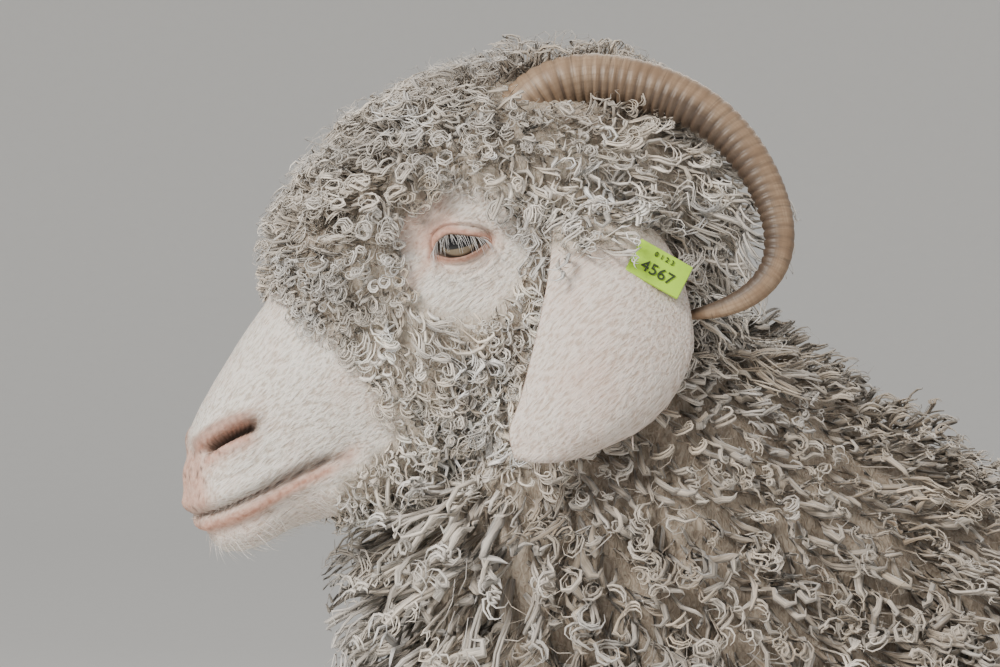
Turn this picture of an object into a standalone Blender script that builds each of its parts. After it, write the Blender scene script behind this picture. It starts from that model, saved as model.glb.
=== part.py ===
"""Angora goat, standing, life size, as a still museum model.

Metres, +Z up. The goat faces -X and its left side faces -Y. It is modelled round
its own midline with the floor at z = 0, and at the end the whole goat is slid so
that its box is centred on the origin. Side profiles are written as (x, z) points
of the midline plane. The head has its own pitched axes: u forward to the nose,
v out to a side, w up to the forehead, from a point midway between the eyes.
"""

import math

import bmesh
import bpy
import numpy as np
from mathutils import Matrix, Vector
from mathutils.bvhtree import BVHTree

# Driving sizes
GAP = 0.0003
CORE_SHARE = 0.5
# The mesh laid over the fused body, how far it is thinned, and where on the head it is thinned less
EVEN_SIZE = 0.0045
THIN_RATIO = 0.038
FACE_FROM = -0.030
FACE_BLEND = 0.030
FACE_BELOW = -0.080
FACE_THINNING = 0.75
SIDES = ((-1, "left"), (1, "right"))
HEAD_AT = (-0.520, 0.785)
HEAD_PITCH = math.radians(38)
BODY_SIDES = 18
HEAD_SIDES = 22
LEG_SIDES = 10
FLEECE = 0.052
BELLY_FLEECE = 0.060
NAPE_FLEECE = 0.036
THROAT_FLEECE = 0.056
NECK_SIDE_FLEECE = (0.020, 0.050)
LEG_FLEECE = 0.028

# Torso skin: x, top, bottom, half width
TORSO = (
    (-0.435, 0.490, 0.405, 0.048),
    (-0.405, 0.560, 0.360, 0.084),
    (-0.340, 0.612, 0.320, 0.110),
    (-0.260, 0.628, 0.298, 0.124),
    (-0.140, 0.606, 0.286, 0.138),
    (0.000, 0.598, 0.282, 0.150),
    (0.120, 0.602, 0.297, 0.150),
    (0.200, 0.600, 0.332, 0.136),
    (0.270, 0.580, 0.382, 0.112),
    (0.315, 0.548, 0.425, 0.078),
    (0.330, 0.520, 0.455, 0.044),
)
# Neck skin: throat (x, z), nape (x, z), half width
NECK = (
    ((-0.390, 0.410), (-0.170, 0.590), 0.100),
    ((-0.455, 0.470), (-0.215, 0.628), 0.094),
    ((-0.485, 0.530), (-0.262, 0.655), 0.084),
    ((-0.500, 0.590), (-0.306, 0.684), 0.074),
    ((-0.500, 0.640), (-0.348, 0.706), 0.065),
    ((-0.492, 0.686), (-0.388, 0.732), 0.056),
    ((-0.484, 0.718), (-0.420, 0.768), 0.048),
)
# Head skin: u, top w, bottom w, half width, w of the greatest width
HEAD = (
    (-0.108, -0.022, -0.062, 0.020, -0.040),
    (-0.098, 0.006, -0.076, 0.034, -0.030),
    (-0.080, 0.024, -0.084, 0.042, -0.022),
    (-0.060, 0.034, -0.089, 0.047, -0.014),
    (-0.035, 0.039, -0.092, 0.050, -0.008),
    (-0.010, 0.040, -0.092, 0.051, -0.004),
    (0.012, 0.038, -0.089, 0.048, -0.004),
    (0.032, 0.035, -0.085, 0.043, -0.008),
    (0.052, 0.032, -0.080, 0.037, -0.014),
    (0.072, 0.029, -0.076, 0.032, -0.019),
    (0.092, 0.024, -0.071, 0.0290, -0.021),
    (0.110, 0.018, -0.066, 0.0265, -0.021),
    (0.126, 0.012, -0.062, 0.0250, -0.021),
    (0.139, 0.006, -0.058, 0.0245, -0.023),
    (0.149, -0.001, -0.056, 0.0225, -0.026),
    (0.157, -0.009, -0.053, 0.0185, -0.029),
    (0.1625, -0.019, -0.049, 0.0120, -0.033),
)
# Wool depth along the head: over the forehead, at the sides and under the jaw
WOOL_U = (-0.110, -0.060, -0.020, 0.017, 0.050, 0.068, 0.080, 0.105, 0.130)
FOREHEAD_WOOL = (0.030, 0.027, 0.036, 0.039, 0.035, 0.017, 0.000, 0.000, 0.000)
CHEEK_WOOL = (0.030, 0.022, 0.014, 0.012, 0.012, 0.009, 0.003, 0.000, 0.000)
JAW_WOOL = (0.022, 0.020, 0.020, 0.020, 0.018, 0.017, 0.016, 0.013, 0.000)
BARE_ROUND_EYE = (0.022, 0.042)

# Eyes, in head axes
EYE_RADIUS = 0.0150
EYE_AT = (0.002, 0.0350, 0.001)
EYE_LOOKS = (0.22, 0.95, 0.06)
FISSURE_TILT = math.radians(24)
FISSURE_LENGTH = 0.031
FISSURE_HEIGHT = 0.011
LID_THICK = 0.0024
# Nostril and mouth, in head axes
NOSTRIL_FRONT = (0.1430, 0.0120, -0.0050)
NOSTRIL_BACK = (0.1215, 0.0225, -0.0085)
NOSTRIL_HEIGHT = 0.0050
NOSTRIL_RISE = 0.25
NOSTRIL_DEPTH = 0.005
MOUTH_CORNER_U = 0.099
MOUTH_FRONT_U = 0.1635
MOUTH_W = (-0.0435, -0.0310)
MOUTH_SLIT = 0.0014
MOUTH_DEPTH = 0.006

# Leg skin: x, distance from the midline, z, half depth, half width
FORELEG = (
    (-0.300, 0.068, 0.440, 0.0700, 0.0400),
    (-0.296, 0.076, 0.370, 0.0560, 0.0370),
    (-0.292, 0.080, 0.310, 0.0400, 0.0310),
    (-0.296, 0.080, 0.250, 0.0290, 0.0250),
    (-0.302, 0.079, 0.205, 0.0245, 0.0225),
    (-0.303, 0.078, 0.180, 0.0225, 0.0205),
    (-0.300, 0.078, 0.150, 0.0165, 0.0150),
    (-0.300, 0.078, 0.100, 0.0160, 0.0145),
    (-0.302, 0.078, 0.078, 0.0200, 0.0185),
    (-0.309, 0.078, 0.056, 0.0175, 0.0180),
    (-0.317, 0.078, 0.034, 0.0215, 0.0205),
)
HINDLEG = (
    (0.185, 0.066, 0.510, 0.0900, 0.0450),
    (0.185, 0.080, 0.430, 0.0980, 0.0500),
    (0.180, 0.088, 0.370, 0.0760, 0.0440),
    (0.205, 0.090, 0.315, 0.0520, 0.0330),
    (0.240, 0.088, 0.272, 0.0360, 0.0250),
    (0.262, 0.086, 0.238, 0.0300, 0.0215),
    (0.268, 0.085, 0.205, 0.0225, 0.0185),
    (0.266, 0.084, 0.160, 0.0175, 0.0155),
    (0.260, 0.084, 0.105, 0.0170, 0.0150),
    (0.256, 0.084, 0.080, 0.0205, 0.0185),
    (0.248, 0.084, 0.057, 0.0180, 0.0180),
    (0.240, 0.084, 0.034, 0.0220, 0.0205),
)
LEG_WOOL_Z = (0.150, 0.200, 0.260, 0.330)
LEG_WOOL = (0.002, 0.008, 0.020, LEG_FLEECE)
# How far each foot stands ahead of or behind its profile, and the height where that begins
STRIDE = {"foreleg_left": -0.012, "foreleg_right": 0.014, "hindleg_left": 0.012, "hindleg_right": -0.016}
STRIDE_TOP = 0.40
# The room of each leg in the coat: x, distance from the midline, z of its domed top, radii
LEG_ROOM = {
    "foreleg": ((-0.300, 0.116, 0.330), (0.086, 0.108, 0.085)),
    "hindleg": ((0.208, 0.122, 0.335), (0.122, 0.112, 0.130)),
}
ROOM_SIDES = 14
SHANK_TOP = {"foreleg": 0.172, "hindleg": 0.232}
CORONET_Z = 0.036
HOOF_TOE = 0.040
HOOF_HEEL = 0.019
CLAW_WIDTH = 0.0185
CLEFT = 0.003
DEWCLAW_RADIUS = 0.006
DEWCLAW_Z = 0.062
DEWCLAW_APART = 0.010
# Tail: (x, z), half height, half width
TAIL = (
    ((0.300, 0.555), 0.022, 0.026),
    ((0.345, 0.588), 0.020, 0.024),
    ((0.382, 0.602), 0.016, 0.020),
    ((0.412, 0.600), 0.008, 0.011),
)
TAIL_WOOL = 0.016
TAIL_ROOM = ((0.396, 0.612), (0.052, 0.046, 0.050))

# Horn centreline: x, distance from the midline, z, radius
HORN = (
    (-0.498, 0.020, 0.818, 0.0125),
    (-0.493, 0.024, 0.838, 0.0125),
    (-0.482, 0.029, 0.852, 0.0122),
    (-0.465, 0.035, 0.858, 0.0118),
    (-0.447, 0.043, 0.8565, 0.0115),
    (-0.429, 0.053, 0.8515, 0.0108),
    (-0.412, 0.064, 0.841, 0.0099),
    (-0.400, 0.075, 0.825, 0.0088),
    (-0.3925, 0.085, 0.806, 0.0078),
    (-0.390, 0.093, 0.787, 0.0068),
    (-0.3955, 0.098, 0.770, 0.0060),
    (-0.408, 0.101, 0.758, 0.0050),
    (-0.423, 0.102, 0.7515, 0.0036),
    (-0.436, 0.101, 0.7485, 0.0012),
)
HORN_SIDES = 8
HORN_RINGS = 27
HORN_RIDGE = 0.05
HORN_FLATTEN = 0.86

# Ear: front edge (x, z), back edge (x, z), distance from the midline, thickness
EAR = (
    ((-0.478, 0.800), (-0.462, 0.803), 0.036, 0.0110),
    ((-0.483, 0.794), (-0.455, 0.798), 0.052, 0.0080),
    ((-0.489, 0.782), (-0.439, 0.787), 0.068, 0.0055),
    ((-0.496, 0.762), (-0.432, 0.766), 0.080, 0.0044),
    ((-0.503, 0.740), (-0.430, 0.742), 0.087, 0.0038),
    ((-0.510, 0.718), (-0.438, 0.720), 0.090, 0.0034),
    ((-0.516, 0.702), (-0.455, 0.703), 0.091, 0.0030),
    ((-0.514, 0.692), (-0.480, 0.6925), 0.0915, 0.0024),
)
EAR_CUP = 0.13
EAR_ACROSS = 7

# The tag in the left ear
TAG_AT = (-0.4463, 0.7713)
TAG_SIZE = (0.026, 0.0175, 0.0016)
TAG_CORNER = 0.0025
TAG_TILT = math.radians(36)
TAG_OFF = 0.0034
STUD_RADIUS = 0.0022
STUD_CAP = (0.0055, 0.0016)
STUD_LENGTH = 0.011

# Where the body is parted: a point (x, z) of each cut and the slope of the cut line
HEAD_CUT = ((-0.450, 0.715), math.radians(33))
NECK_CUT = ((-0.355, 0.571), math.radians(31.7))

# Clumps of fleece: spacing on the trunk, neck, legs and tail, and on the head
SEED = 5
CANDIDATES = 20000
# Below this height the wool of a leg's zone is the leg's own
BELLY_LINE = 0.23
CLUMP_SPACING = {"trunk": 0.092, "neck": 0.072, "leg": 0.075, "tail": 0.055, "head": 0.0350}
CLUMP_SIDES = 8
CLUMP_LENGTH = 1.45
CLUMP_WIDTH = 1.15
CLUMP_STRAY = 0.35
CLUMP_DOME = (0.0, 0.45)
# Along a clump: share of its length, of its width, of its thickness, and of its height over the core
CLUMP_STATIONS = (
    (0.02, 0.50, 0.50, -0.30),
    (0.45, 1.00, 1.00, 0.00),
    (0.84, 0.80, 0.86, -0.03),
)
SINK = 0.35
# Wool thinner than this over the core grows no clump
LEAST_WOOL = 0.0045
CLEAR_OF_SHANK = 0.030

COLOURS = {
    "fleece": ((0.62, 0.58, 0.51), 0.90),
    "face": ((0.80, 0.75, 0.70), 0.80),
    "horn": ((0.50, 0.38, 0.27), 0.50),
    "eye": ((0.30, 0.24, 0.16), 0.10),
    "hoof": ((0.20, 0.17, 0.14), 0.55),
    "tag": ((0.42, 0.80, 0.05), 0.40),
}


def clear_scene():
    """Removes the objects that the file opens with."""
    for obj in list(bpy.data.objects):
        bpy.data.objects.remove(obj)


def material(name):
    """The Principled material of this name, made once."""
    found = bpy.data.materials.get(name)
    if found:
        return found
    colour, roughness = COLOURS[name]
    made = bpy.data.materials.new(name)
    made.use_nodes = True
    shader = made.node_tree.nodes["Principled BSDF"]
    shader.inputs["Base Color"].default_value = (*colour, 1.0)
    shader.inputs["Roughness"].default_value = roughness
    shader.inputs["Metallic"].default_value = 0.0
    return made


def collection(name):
    """A collection linked to the scene."""
    made = bpy.data.collections.new(name)
    bpy.context.scene.collection.children.link(made)
    return made


def mesh_object(name, points, faces, into):
    """A mesh object of these points and faces, with its normals made to face out."""
    mesh = bpy.data.meshes.new(name)
    mesh.from_pydata([tuple(p) for p in points], [], faces)
    bm = bmesh.new()
    bm.from_mesh(mesh)
    bmesh.ops.recalc_face_normals(bm, faces=bm.faces)
    bm.to_mesh(mesh)
    bm.free()
    obj = bpy.data.objects.new(name, mesh)
    into.objects.link(obj)
    return obj


def loft(rings, turned=(), dome=(0.0, 0.0)):
    """Points and triangles of a closed tube through rings of equal count, its ends closed by fans.

    The quads of the sides listed in turned are split along their other diagonal. The middle of each
    end is pushed out by its share of dome, as a part of the way from the next ring.
    """
    sides = len(rings[0])
    points = np.concatenate([np.asarray(r, float) for r in rings])
    faces = []
    for i in range(len(rings) - 1):
        for j in range(sides):
            k = (j + 1) % sides
            a, b = i * sides, (i + 1) * sides
            if j in turned:
                faces += [(a + j, a + k, b + j), (a + k, b + k, b + j)]
            else:
                faces += [(a + j, a + k, b + k), (a + j, b + k, b + j)]
    middles = [np.mean(rings[i], axis=0) for i in (0, 1, -2, -1)]
    start = middles[0] + (middles[0] - middles[1]) * dome[0]
    ends = np.array([start, middles[3] + (middles[3] - middles[2]) * dome[1]])
    first, last = len(points), len(points) + 1
    final = (len(rings) - 1) * sides
    for j in range(sides):
        k = (j + 1) % sides
        faces.append((first, k, j))
        faces.append((last, final + j, final + k))
    return np.concatenate([points, ends]), faces


def power(value, exponent):
    """A signed power, for superellipses."""
    return np.sign(value) * np.abs(value) ** exponent


def outline(sides, squareness=2.0):
    """Cosine and sine of a superellipse's points: 2 is an ellipse, more is squarer."""
    turn = np.linspace(0, 2 * math.pi, sides, endpoint=False) + math.pi / sides
    return power(np.cos(turn), 2 / squareness), power(np.sin(turn), 2 / squareness)


def head_point(u, v, w, side=-1):
    """World point of a point in head axes, on the left for side -1 and on the right for +1."""
    c, s = math.cos(HEAD_PITCH), math.sin(HEAD_PITCH)
    x = HEAD_AT[0] - u * c - w * s
    z = HEAD_AT[1] - u * s + w * c
    return np.stack(np.broadcast_arrays(x, side * np.asarray(v, float), z), axis=-1)


def head_axes(points):
    """The u, v, w of world points, with v counted out from the midline on either side."""
    c, s = math.cos(HEAD_PITCH), math.sin(HEAD_PITCH)
    dx, dz = points[:, 0] - HEAD_AT[0], points[:, 2] - HEAD_AT[1]
    return -dx * c - dz * s, np.abs(points[:, 1]), -dx * s + dz * c


def smoothstep(low, high, value):
    """0 below low, 1 above high, and a smooth rise between."""
    t = np.clip((value - low) / (high - low), 0, 1)
    return t * t * (3 - 2 * t)


def torso_skin():
    """Closed loft of the torso's skin."""
    across, up = outline(BODY_SIDES, 2.2)
    rings = []
    for x, top, bottom, half in TORSO:
        middle = (top + bottom) / 2
        z = middle + up * (top - bottom) / 2
        rings.append(np.stack([np.full_like(z, x), across * half, z], axis=-1))
    return loft(rings)


def neck_skin():
    """Closed loft of the neck's skin, from inside the chest to inside the head."""
    across, up = outline(BODY_SIDES, 2.1)
    rings = []
    for throat, nape, half in NECK:
        middle = (np.array(throat) + np.array(nape)) / 2
        reach = (np.array(nape) - np.array(throat)) / 2
        line = middle + up[:, None] * reach
        rings.append(np.stack([line[:, 0], across * half, line[:, 1]], axis=-1))
    return loft(rings)


def head_skin():
    """Closed loft of the head's skin, from the poll to the lips."""
    across, up = outline(HEAD_SIDES, 2.15)
    rings = []
    for u, top, bottom, half, level in HEAD:
        w = level + np.where(up > 0, up * (top - level), up * (level - bottom))
        rings.append(head_point(u, across * half, w, side=1))
    return loft(rings)


def half_width_at(u, w):
    """Half the width of the head's skin at this u and w."""
    table = np.array(HEAD).T
    top, bottom, half, level = (np.interp(u, table[0], row) for row in table[1:])
    reach = top - level if w > level else level - bottom
    return half * max(0.0, 1 - (abs(w - level) / reach) ** 2.15) ** (1 / 2.15)


def leg_skin(profile, side, stride):
    """Closed loft of a leg's skin, down to just inside the hoof."""
    across, along = outline(LEG_SIDES)
    rings = []
    for x, off, z, depth, width in profile:
        step = stride * (1 - smoothstep(0, STRIDE_TOP, z))
        ring = [x + step + along * depth, side * off + across * width, np.full(LEG_SIDES, z)]
        rings.append(np.stack(ring, axis=-1))
    return loft(rings)


def tail_skin():
    """Closed loft of the short upturned tail."""
    across, up = outline(LEG_SIDES)
    rings = []
    for i, ((x, z), tall, wide) in enumerate(TAIL):
        before, after = TAIL[max(i - 1, 0)][0], TAIL[min(i + 1, len(TAIL) - 1)][0]
        slope = math.atan2(after[1] - before[1], after[0] - before[0])
        px = x - up * tall * math.sin(slope)
        pz = z + up * tall * math.cos(slope)
        rings.append(np.stack([px, across * wide, pz], axis=-1))
    return loft(rings)


def outward(points, faces):
    """Unit normals of the points of a closed mesh."""
    mesh = bpy.data.meshes.new("normals")
    mesh.from_pydata([tuple(p) for p in points], [], faces)
    bm = bmesh.new()
    bm.from_mesh(mesh)
    bmesh.ops.recalc_face_normals(bm, faces=bm.faces)
    bm.normal_update()
    normals = np.array([v.normal[:] for v in bm.verts])
    bm.free()
    bpy.data.meshes.remove(mesh)
    return normals


def torso_wool(points, normals):
    """Fleece depth on the torso: deeper where it hangs from the belly."""
    hanging = smoothstep(0.2, 0.9, -normals[:, 2])
    return FLEECE + (BELLY_FLEECE - FLEECE) * hanging


def neck_wool(points, normals):
    """Fleece depth on the neck: long at the throat, thin at the sides under the ears."""
    down = smoothstep(0.74, 0.56, points[:, 2])
    side = NECK_SIDE_FLEECE[0] + (NECK_SIDE_FLEECE[1] - NECK_SIDE_FLEECE[0]) * down
    throat = smoothstep(0.35, 0.85, -normals[:, 0])
    nape = smoothstep(0.35, 0.85, normals[:, 2])
    depth = side + (THROAT_FLEECE - side) * throat
    return depth + (np.maximum(NAPE_FLEECE, side) - depth) * nape


def head_wool(points, normals):
    """Wool depth on the head: a deep topknot, thin cheeks, a bare muzzle and bare skin round the eyes."""
    u, v, w = head_axes(points)
    level = np.interp(u, [s[0] for s in HEAD], [s[4] for s in HEAD])
    turn = np.arctan2(w - level, v)
    above = smoothstep(math.radians(5), math.radians(60), turn)
    below = smoothstep(math.radians(-35), math.radians(-70), turn)
    depth = np.interp(u, WOOL_U, CHEEK_WOOL)
    depth = depth + (np.interp(u, WOOL_U, FOREHEAD_WOOL) - depth) * above
    depth = depth + (np.interp(u, WOOL_U, JAW_WOOL) - depth) * below
    from_eye = np.hypot(u - EYE_AT[0], w - EYE_AT[2])
    on_side = 1 - smoothstep(math.radians(30), math.radians(55), turn)
    bare = (1 - smoothstep(*BARE_ROUND_EYE, from_eye)) * on_side
    return depth * (1 - bare)


def leg_wool(points, normals):
    """Wool depth on a leg, thinning down to the knee and hock."""
    return np.interp(points[:, 2], LEG_WOOL_Z, LEG_WOOL)


def tail_wool(points, normals):
    """Wool depth on the tail."""
    return np.full(len(points), TAIL_WOOL)


def grown(shape, wool, share):
    """The closed mesh moved out along its normals by a share of the wool's depth."""
    points, faces = shape
    normals = outward(points, faces)
    return points + normals * (wool(points, normals) * share)[:, None], faces


def half_space(name, cut, above, into):
    """A large box with one face on a cut, on its upper or lower side, clear of it by half the gap."""
    (x, z), slope = cut
    size = 2.0
    normal = Vector((-math.sin(slope), 0, math.cos(slope)))
    sign = 1 if above else -1
    centre = Vector((x, 0, z)) + normal * sign * (size / 2 + GAP / 2)
    bm = bmesh.new()
    bmesh.ops.create_cube(bm, size=size)
    bmesh.ops.transform(bm, verts=bm.verts, matrix=Matrix.Rotation(-slope, 4, "Y"))
    bmesh.ops.translate(bm, verts=bm.verts, vec=centre)
    return bmesh_object(name, bm, into)


def bmesh_object(name, bm, into):
    """A mesh object from a bmesh, which is freed."""
    mesh = bpy.data.meshes.new(name)
    bm.to_mesh(mesh)
    bm.free()
    obj = bpy.data.objects.new(name, mesh)
    into.objects.link(obj)
    return obj


def leg_room(name, kind, side, grow, into):
    """The room of a leg in the coat: a dome with straight sides down past the floor."""
    (x, off, z), radii = LEG_ROOM[kind]
    turn = np.linspace(0, 2 * math.pi, ROOM_SIDES, endpoint=False)
    levels = [(-0.1, 1.0), (z, 1.0)]
    for climb in np.linspace(0, math.pi / 2, 5)[1:-1]:
        levels.append((z + math.sin(climb) * (radii[2] + grow), math.cos(climb)))
    levels.append((z + (radii[2] + grow) * 0.99, 0.08))
    rings = []
    for height, share in levels:
        px = x + np.cos(turn) * (radii[0] + grow) * share
        py = side * off + np.sin(turn) * (radii[1] + grow) * share
        rings.append(np.stack([px, py, np.full(ROOM_SIDES, height)], axis=-1))
    return mesh_object(name, *loft(rings), into)


def tail_room(name, grow, into):
    """The room of the tail in the coat of the rump."""
    (x, z), radii = TAIL_ROOM
    bm = bmesh.new()
    bmesh.ops.create_uvsphere(bm, u_segments=12, v_segments=8, radius=1.0)
    bmesh.ops.scale(bm, verts=bm.verts, vec=[r + grow for r in radii])
    bmesh.ops.translate(bm, verts=bm.verts, vec=(x, 0, z))
    return bmesh_object(name, bm, into)


def eye_frame(side):
    """World matrix of an eye: local Z looks out, local X runs along the opening of the lids."""
    centre = Vector(head_point(*EYE_AT, side))
    ahead = Vector(head_point(*(np.array(EYE_AT) + EYE_LOOKS), side)) - centre
    slant = np.array([math.cos(FISSURE_TILT), 0, math.sin(FISSURE_TILT)])
    along = Vector(head_point(*(np.array(EYE_AT) + slant), side)) - centre
    z = ahead.normalized()
    y = z.cross(along).normalized()
    x = y.cross(z)
    frame = Matrix((x, y, z)).transposed().to_4x4()
    return Matrix.Translation(centre) @ frame


def sphere(name, radius, frame, into, segments=14, rings=8):
    """A sphere in the axes of a frame."""
    bm = bmesh.new()
    bmesh.ops.create_uvsphere(bm, u_segments=segments, v_segments=rings, radius=radius, matrix=frame)
    return bmesh_object(name, bm, into)


def lid_opening(name, side, into):
    """A cutter in the almond shape of the open lids."""
    frame = eye_frame(side)
    steps = 10
    rim = []
    for i in range(2 * steps):
        t = math.pi * i / steps
        x = math.cos(t) * FISSURE_LENGTH / 2
        y = math.sin(t) * abs(math.sin(t)) ** 0.3 * FISSURE_HEIGHT / 2
        rim.append((x, y))
    rings = []
    for depth in (EYE_RADIUS * 0.55, EYE_RADIUS * 1.5):
        widen = 1.0 if depth < EYE_RADIUS else 1.25
        rings.append([frame @ Vector((x * widen, y * widen, depth)) for x, y in rim])
    return mesh_object(name, *loft(rings), into)


def nostril(name, side, into):
    """A cutter for the slanting, comma-shaped nostril, narrower inside."""
    front, back = np.array(NOSTRIL_FRONT), np.array(NOSTRIL_BACK)
    along = (back - front) / 2
    out = np.array([along[1], -along[0], NOSTRIL_RISE * np.linalg.norm(along)])
    out = out / np.linalg.norm(out)
    up = np.cross(along, out)
    up = up / np.linalg.norm(up) * np.sign(up[2])
    turn = np.linspace(0, 2 * math.pi, 12, endpoint=False)
    rings = []
    for depth, shrink in ((0.008, 1.15), (-NOSTRIL_DEPTH, 0.75)):
        long = np.cos(turn) * shrink
        tall = (np.sin(turn) * (1 - 0.25 * np.cos(turn)) + 0.5 * long**2) * NOSTRIL_HEIGHT / 2 * shrink
        ring = (front + back) / 2 + out * depth + long[:, None] * along + tall[:, None] * up
        rings.append(head_point(ring[:, 0], ring[:, 1], ring[:, 2], side))
    return mesh_object(name, *loft(rings), into)


def mouth_slit(into):
    """A thin cutter that follows the lips from one corner of the mouth round to the other."""
    steps = 8
    share = 1 - (1 - np.linspace(0, 1, steps)) ** 1.8
    us = MOUTH_CORNER_U + (MOUTH_FRONT_U - MOUTH_CORNER_U) * share
    ws = np.interp(us, (MOUTH_CORNER_U, MOUTH_FRONT_U), MOUTH_W)
    half = np.array([half_width_at(min(u, 0.1619), w) for u, w in zip(us, ws)])
    half[-1] = 0.0
    line = [(u, v, w) for u, v, w in zip(us, half, ws)]
    path = [(u, -v, w) for u, v, w in line] + [(u, v, w) for u, v, w in line[-2::-1]]
    path = np.array(path)
    centre = np.array([0.120, 0.0, 0.0])
    rings = []
    for p in path:
        out = p - centre
        out[2] = 0
        out = out / np.linalg.norm(out)
        outer, inner = p + out * 0.003, p - out * MOUTH_DEPTH
        rise = np.array([0, 0, MOUTH_SLIT / 2])
        corners = [outer + rise * 1.6, inner + rise * 0.5, inner - rise * 0.5, outer - rise * 1.6]
        rings.append([head_point(u, v, w, 1) for u, v, w in corners])
    return mesh_object("mouth_slit", *loft(rings), into)


def horn(name, side, grow, into):
    """A horn: a loft along its curved centreline, with ridges across it."""
    table = np.array(HORN)
    table[:, 1] *= side
    spans = np.linalg.norm(np.diff(table[:, :3], axis=0), axis=1)
    station = np.concatenate([[0], np.cumsum(spans)])
    at = np.linspace(0, station[-1], HORN_RINGS)
    line = np.stack([np.interp(at, station, table[:, i]) for i in range(4)], axis=-1)
    for _ in range(3):
        line[1:-1] = (line[:-2] + 2 * line[1:-1] + line[2:]) / 4
    tangents = np.gradient(line[:, :3], axis=0)
    across, up = outline(HORN_SIDES)
    rings = []
    for i, (point, tangent) in enumerate(zip(line, tangents)):
        tangent = tangent / np.linalg.norm(tangent)
        wide = np.cross(tangent, (0, side, 0))
        wide = wide / np.linalg.norm(wide)
        thick = np.cross(tangent, wide)
        ridge = 1 + HORN_RIDGE * (-1) ** i * (i < HORN_RINGS * 0.8)
        radius = point[3] * ridge + grow
        ring = point[:3] + radius * (up[:, None] * wide + across[:, None] * HORN_FLATTEN * thick)
        rings.append(ring)
    return mesh_object(name, *loft(rings), into)


def ear_lines(side):
    """Points across the middle of an ear at each station, with its outward direction there."""
    fronts = np.array([(f[0], side * off, f[1]) for f, _, off, _ in EAR])
    backs = np.array([(b[0], side * off, b[1]) for _, b, off, _ in EAR])
    tangents = np.gradient((fronts + backs) / 2, axis=0)
    share = np.linspace(-1, 1, EAR_ACROSS)
    lines, outs = [], []
    for front, back, tangent in zip(fronts, backs, tangents):
        across = back - front
        out = np.cross(tangent, across) * -side
        out = out / np.linalg.norm(out)
        bow = np.linalg.norm(across) * EAR_CUP * (1 - share**2)
        middle = (front + back) / 2
        lines.append(middle + share[:, None] * across / 2 + bow[:, None] * out)
        outs.append(out)
    return share, lines, outs


def ear(name, side, grow, into):
    """An ear: a hanging leaf, cupped towards the head, thickest at its root."""
    share, lines, outs = ear_lines(side)
    rings = []
    for station, line, out in zip(EAR, lines, outs):
        across = (line[-1] - line[0]) / np.linalg.norm(line[-1] - line[0])
        half = station[3] / 2 * (1 - 0.75 * share**2) + grow
        spread = line + (share * grow)[:, None] * across
        rings.append(np.concatenate([spread + half[:, None] * out, (spread - half[:, None] * out)[::-1]]))
    tip = lines[-1][EAR_ACROSS // 2] - lines[-2][EAR_ACROSS // 2]
    rings[-1] = rings[-1] + tip / np.linalg.norm(tip) * grow
    return mesh_object(name, *loft(rings, range(EAR_ACROSS, 2 * EAR_ACROSS - 1)), into)


def tag_frame():
    """World matrix of the ear tag: local Z points away from the ear, local X runs along the plate."""
    _, lines, outs = ear_lines(-1)
    middles = np.array([line[EAR_ACROSS // 2] for line in lines])
    near = int(np.argmin(np.abs(middles[:, 2] - TAG_AT[1])))
    out = Vector(outs[near])
    off = float(np.interp(-TAG_AT[1], -middles[:, 2], -middles[:, 1]))
    centre = Vector((TAG_AT[0], -off, TAG_AT[1])) + out * TAG_OFF
    along = Vector((math.cos(TAG_TILT), 0, -math.sin(TAG_TILT)))
    y = out.cross(along).normalized()
    frame = Matrix((y.cross(out), y, out)).transposed().to_4x4()
    return Matrix.Translation(centre) @ frame


def ear_tag(name, grow, into):
    """The tag: a rounded plate on the ear, a stud through it and a cap behind."""
    frame = tag_frame()
    pieces = collection("tag_pieces")
    bm = bmesh.new()
    bmesh.ops.create_cube(bm, size=1.0)
    bmesh.ops.scale(bm, verts=bm.verts, vec=[s + 2 * grow for s in TAG_SIZE])
    upright = [e for e in bm.edges if abs((e.verts[0].co - e.verts[1].co).z) > 1e-6]
    bmesh.ops.bevel(bm, geom=upright, offset=TAG_CORNER, segments=3, affect="EDGES", profile=0.5)
    bmesh.ops.transform(bm, verts=bm.verts, matrix=frame)
    plate = bmesh_object(name, bm, into)
    for radius, length in ((STUD_RADIUS, STUD_LENGTH), STUD_CAP):
        bm = bmesh.new()
        place = frame @ Matrix.Translation((0, 0, length / 2 - STUD_LENGTH))
        bmesh.ops.create_cone(
            bm,
            cap_ends=True,
            segments=14,
            radius1=radius + grow,
            radius2=radius + grow,
            depth=length + 2 * grow,
            matrix=place,
        )
        bmesh_object("stud", bm, pieces)
    return boolean(plate, [("UNION", pieces)])


def boolean(base, steps):
    """Applies Booleans in order, each with an object or a collection, and keeps the largest closed surface."""
    for operation, other in steps:
        modifier = base.modifiers.new(operation.title(), "BOOLEAN")
        modifier.operation = operation
        modifier.solver = "MANIFOLD"
        if isinstance(other, bpy.types.Collection):
            modifier.operand_type = "COLLECTION"
            modifier.collection = other
        else:
            modifier.object = other
    bpy.context.view_layer.update()
    graph = bpy.context.evaluated_depsgraph_get()
    mesh = bpy.data.meshes.new_from_object(base.evaluated_get(graph))
    base.modifiers.clear()
    base.data = mesh
    keep_largest(mesh)
    for _, other in steps:
        if isinstance(other, bpy.types.Collection):
            for obj in list(other.objects):
                bpy.data.objects.remove(obj)
            bpy.data.collections.remove(other)
    return base


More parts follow.
